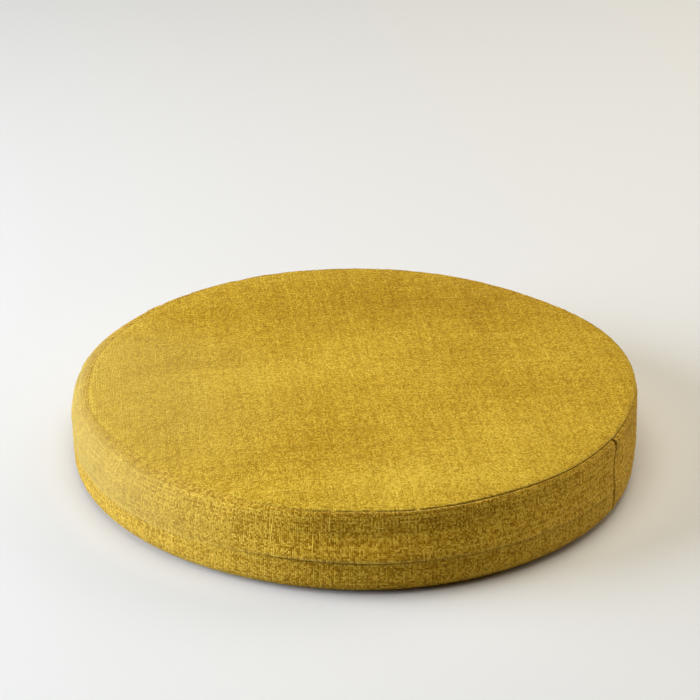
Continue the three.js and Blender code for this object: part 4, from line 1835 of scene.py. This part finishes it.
@dataclass(frozen=True)
class SeamStitches:
    """Machine stitches deep in the top seam and the base seam."""

    name: str = "seam_stitches"
    seed: int = 5
    lift: float = 0.25 * MM
    light: float = 1.1
    dark: float = 0.3

    def build(self, cover: Cover, finish: bpy.types.Material) -> bpy.types.Object:
        """Lays the stitches along the seams.

        Args:
            cover: the cover, built.
            finish: the thread's material.

        Returns:
            The piece.
        """
        lines = []
        for ring in cover.seam_rings():
            points = [point + Vector((point.x, point.y, 0)).normalized() * self.lift for point in ring]
            # Stitches are painted darker where the seam shows, as shade deep in the seam.
            shows = (round_table(SEAM_SHOWS, bearing) for bearing in cover.bearings)
            tones = [lerp(self.light, self.dark, shown) for shown in shows]
            lines.append(Line(points, [0.0] * len(points), tones))
        carrier = carrier_mesh(self.name, lines, closed=True)
        inputs = {"Material": finish, "Seed": self.seed}
        return Growth.grow(self.name, carrier, Growth.stitch_row(), inputs)


@dataclass(frozen=True)
class CoverFuzz:
    """Fine loose fibres that stand out of the cloth everywhere but on the base."""

    name: str = "cover_fuzz"
    seed: int = 23

    def build(self, piece: bpy.types.Object, finish: bpy.types.Material) -> bpy.types.Object:
        """Grows the fibres from the cover's top and strips.

        Args:
            piece: the cover's object.
            finish: the fibres' material.

        Returns:
            The piece.
        """
        carrier = piece.data.copy()
        built = bmesh.new()
        built.from_mesh(carrier)
        base = [face for face in built.faces if face.material_index == PANEL_SLOTS[Panel.BASE]]
        bmesh.ops.delete(built, geom=base, context="FACES")
        built.to_mesh(carrier)
        built.free()
        inputs = {"Material": finish, "Seed": self.seed}
        return Growth.grow(self.name, carrier, Growth.fuzz(), inputs)


@dataclass(frozen=True)
class SoftLight:
    """One soft box, placed round the middle of the cushion and aimed at it."""

    name: str
    bearing: float
    elevation: float
    distance: float
    size: float
    power: float
    colour: tuple[float, float, float] = (1.0, 1.0, 1.0)

    def place(self, target: Vector) -> bpy.types.Object:
        """Adds the light.

        Args:
            target: the point that it is aimed at.

        Returns:
            The light.
        """
        data = bpy.data.lights.new(self.name, "AREA")
        data.shape = "DISK"
        data.size = self.size
        data.energy = self.power
        data.color = self.colour
        light = add_object(self.name, data)
        around, up = math.radians(self.bearing), math.radians(self.elevation)
        way = Vector((math.cos(around) * math.cos(up), math.sin(around) * math.cos(up), math.sin(up)))
        light.location = target + way * self.distance
        light.rotation_mode = "QUATERNION"
        light.rotation_quaternion = way.to_track_quat("Z", "Y")
        return light


@dataclass(frozen=True)
class Studio:
    """Plain pale floor and plain soft light."""

    floor_half: float = 12.0
    floor_drop: float = 0.1 * MM
    floor_roughness: float = 0.9
    world_strength: float = 0.01
    lights: tuple[SoftLight, ...] = (
        SoftLight("left_light", 185.0, 15.0, 2.4, 2.0, 105.0, (0.89, 1.0, 1.2)),
        SoftLight("top_light", 180.0, 88.0, 2.4, 2.0, 31.0, (1.04, 1.0, 0.82)),
        SoftLight("front_light", 250.0, 70.0, 2.4, 2.0, 5.5, (1.12, 1.0, 0.96)),
        SoftLight("right_fill", 20.0, 20.0, 2.6, 1.8, 15.5, (1.12, 1.0, 0.82)),
        SoftLight("back_fill", 50.0, 40.0, 2.6, 1.8, 19.0, (1.12, 1.0, 0.82)),
    )

    def build(self, target: Vector) -> None:
        """Adds the floor, the world and the lights.

        Args:
            target: the point that the lights are aimed at.
        """
        half = self.floor_half
        mesh = bpy.data.meshes.new("floor")
        corners = [(-half, -half, 0), (half, -half, 0), (half, half, 0), (-half, half, 0)]
        mesh.from_pydata(corners, [], [(0, 1, 2, 3)])
        floor = add_object("floor", mesh)
        floor.location.z = -self.floor_drop
        matt = bpy.data.materials.new("pale_floor")
        matt.use_nodes = True
        surface = matt.node_tree.nodes["Principled BSDF"]
        surface.inputs["Base Color"].default_value = Tint.FLOOR.value
        surface.inputs["Roughness"].default_value = self.floor_roughness
        mesh.materials.append(matt)
        world = bpy.data.worlds.new("studio")
        world.use_nodes = True
        background = world.node_tree.nodes["Background"]
        background.inputs["Color"].default_value = (1.0, 1.0, 1.0, 1.0)
        background.inputs["Strength"].default_value = self.world_strength
        bpy.context.scene.world = world
        bpy.context.scene.view_settings.view_transform = "Standard"
        for light in self.lights:
            light.place(target)


@dataclass(frozen=True)
class Viewpoint:
    """Camera at the photograph's viewing angle, fitted to the cushion's outline and seams."""

    distance: float = 2.0
    elevation: float = 27.394
    roll: float = 0.731
    frame_pixels: float = 700.0
    focal_pixels: float = 2516.6
    target_pixel: tuple[float, float] = (354.1, 409.71)
    sensor: float = 36.0

    def build(self, target: Vector) -> None:
        """Adds the camera, with the target on its pixel of the photograph's frame.

        Args:
            target: the middle of the cushion.
        """
        up_angle, roll = math.radians(self.elevation), math.radians(self.roll)
        back = Vector((0, -math.cos(up_angle), math.sin(up_angle)))
        level_right = Vector((1, 0, 0))
        level_up = back.cross(level_right)
        right = level_right * math.cos(roll) + level_up * math.sin(roll)
        up = level_up * math.cos(roll) - level_right * math.sin(roll)
        aside = (self.target_pixel[0] - self.frame_pixels / 2) / self.focal_pixels
        below = (self.target_pixel[1] - self.frame_pixels / 2) / self.focal_pixels
        ahead = (-back + up * below - right * aside).normalized()
        right = (right - ahead * right.dot(ahead)).normalized()
        up = right.cross(ahead)
        data = bpy.data.cameras.new("camera")
        data.sensor_width = self.sensor
        data.lens = self.focal_pixels * self.sensor / self.frame_pixels
        camera = add_object("camera", data)
        turned = Matrix((right, up, -ahead)).transposed().to_4x4()
        camera.matrix_world = Matrix.Translation(target + back * self.distance) @ turned
        bpy.context.scene.camera = camera


PANEL_FINISHES = (
    LinenFinish("top_linen"),
    LinenFinish("strip_linen", Tint.STRIP_PAINTED_SHADE, pitch=1.4 * MM, wander=0.5, flecks=0.8, streaks=0.26,
                bright=0.45, speckle=0.55, mottle=0.05, grain=0.3, gap_shade=0.34, bump=0.6 * MM),
    LinenFinish("base_linen"),
)


def main() -> None:
    """Builds and dresses the cushion, then sets up the studio and the camera."""
    logging.basicConfig(level=logging.INFO, format="%(name)s: %(message)s")
    middle = Vector((0, 0, MIDDLE_HEIGHT))
    Viewpoint().build(middle)
    cover = Cover()
    piece = cover.build(Settling().run())
    cover.close_middles(piece)
    weave = LinenWeave().build()
    for finish in PANEL_FINISHES:
        piece.data.materials.append(finish.build(weave))
    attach(piece, BODY)
    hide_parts(SOLID)
    log.info("%s: %d points, %d faces", piece.name, len(piece.data.vertices), len(piece.data.polygons))
    skin = BVHTree.FromObject(piece, bpy.context.evaluated_depsgraph_get())
    SlubYarns().build(cover, skin, YarnFinish("slub_yarn").build())
    SeamStitches().build(cover, YarnFinish("sewing_thread", dark=Tint.PAINTED_SHADE, light=Tint.THREAD).build())
    CoverFuzz().build(piece, YarnFinish("loose_fibre").build())
    Studio().build(middle)


if __name__ == "__main__":
    main()
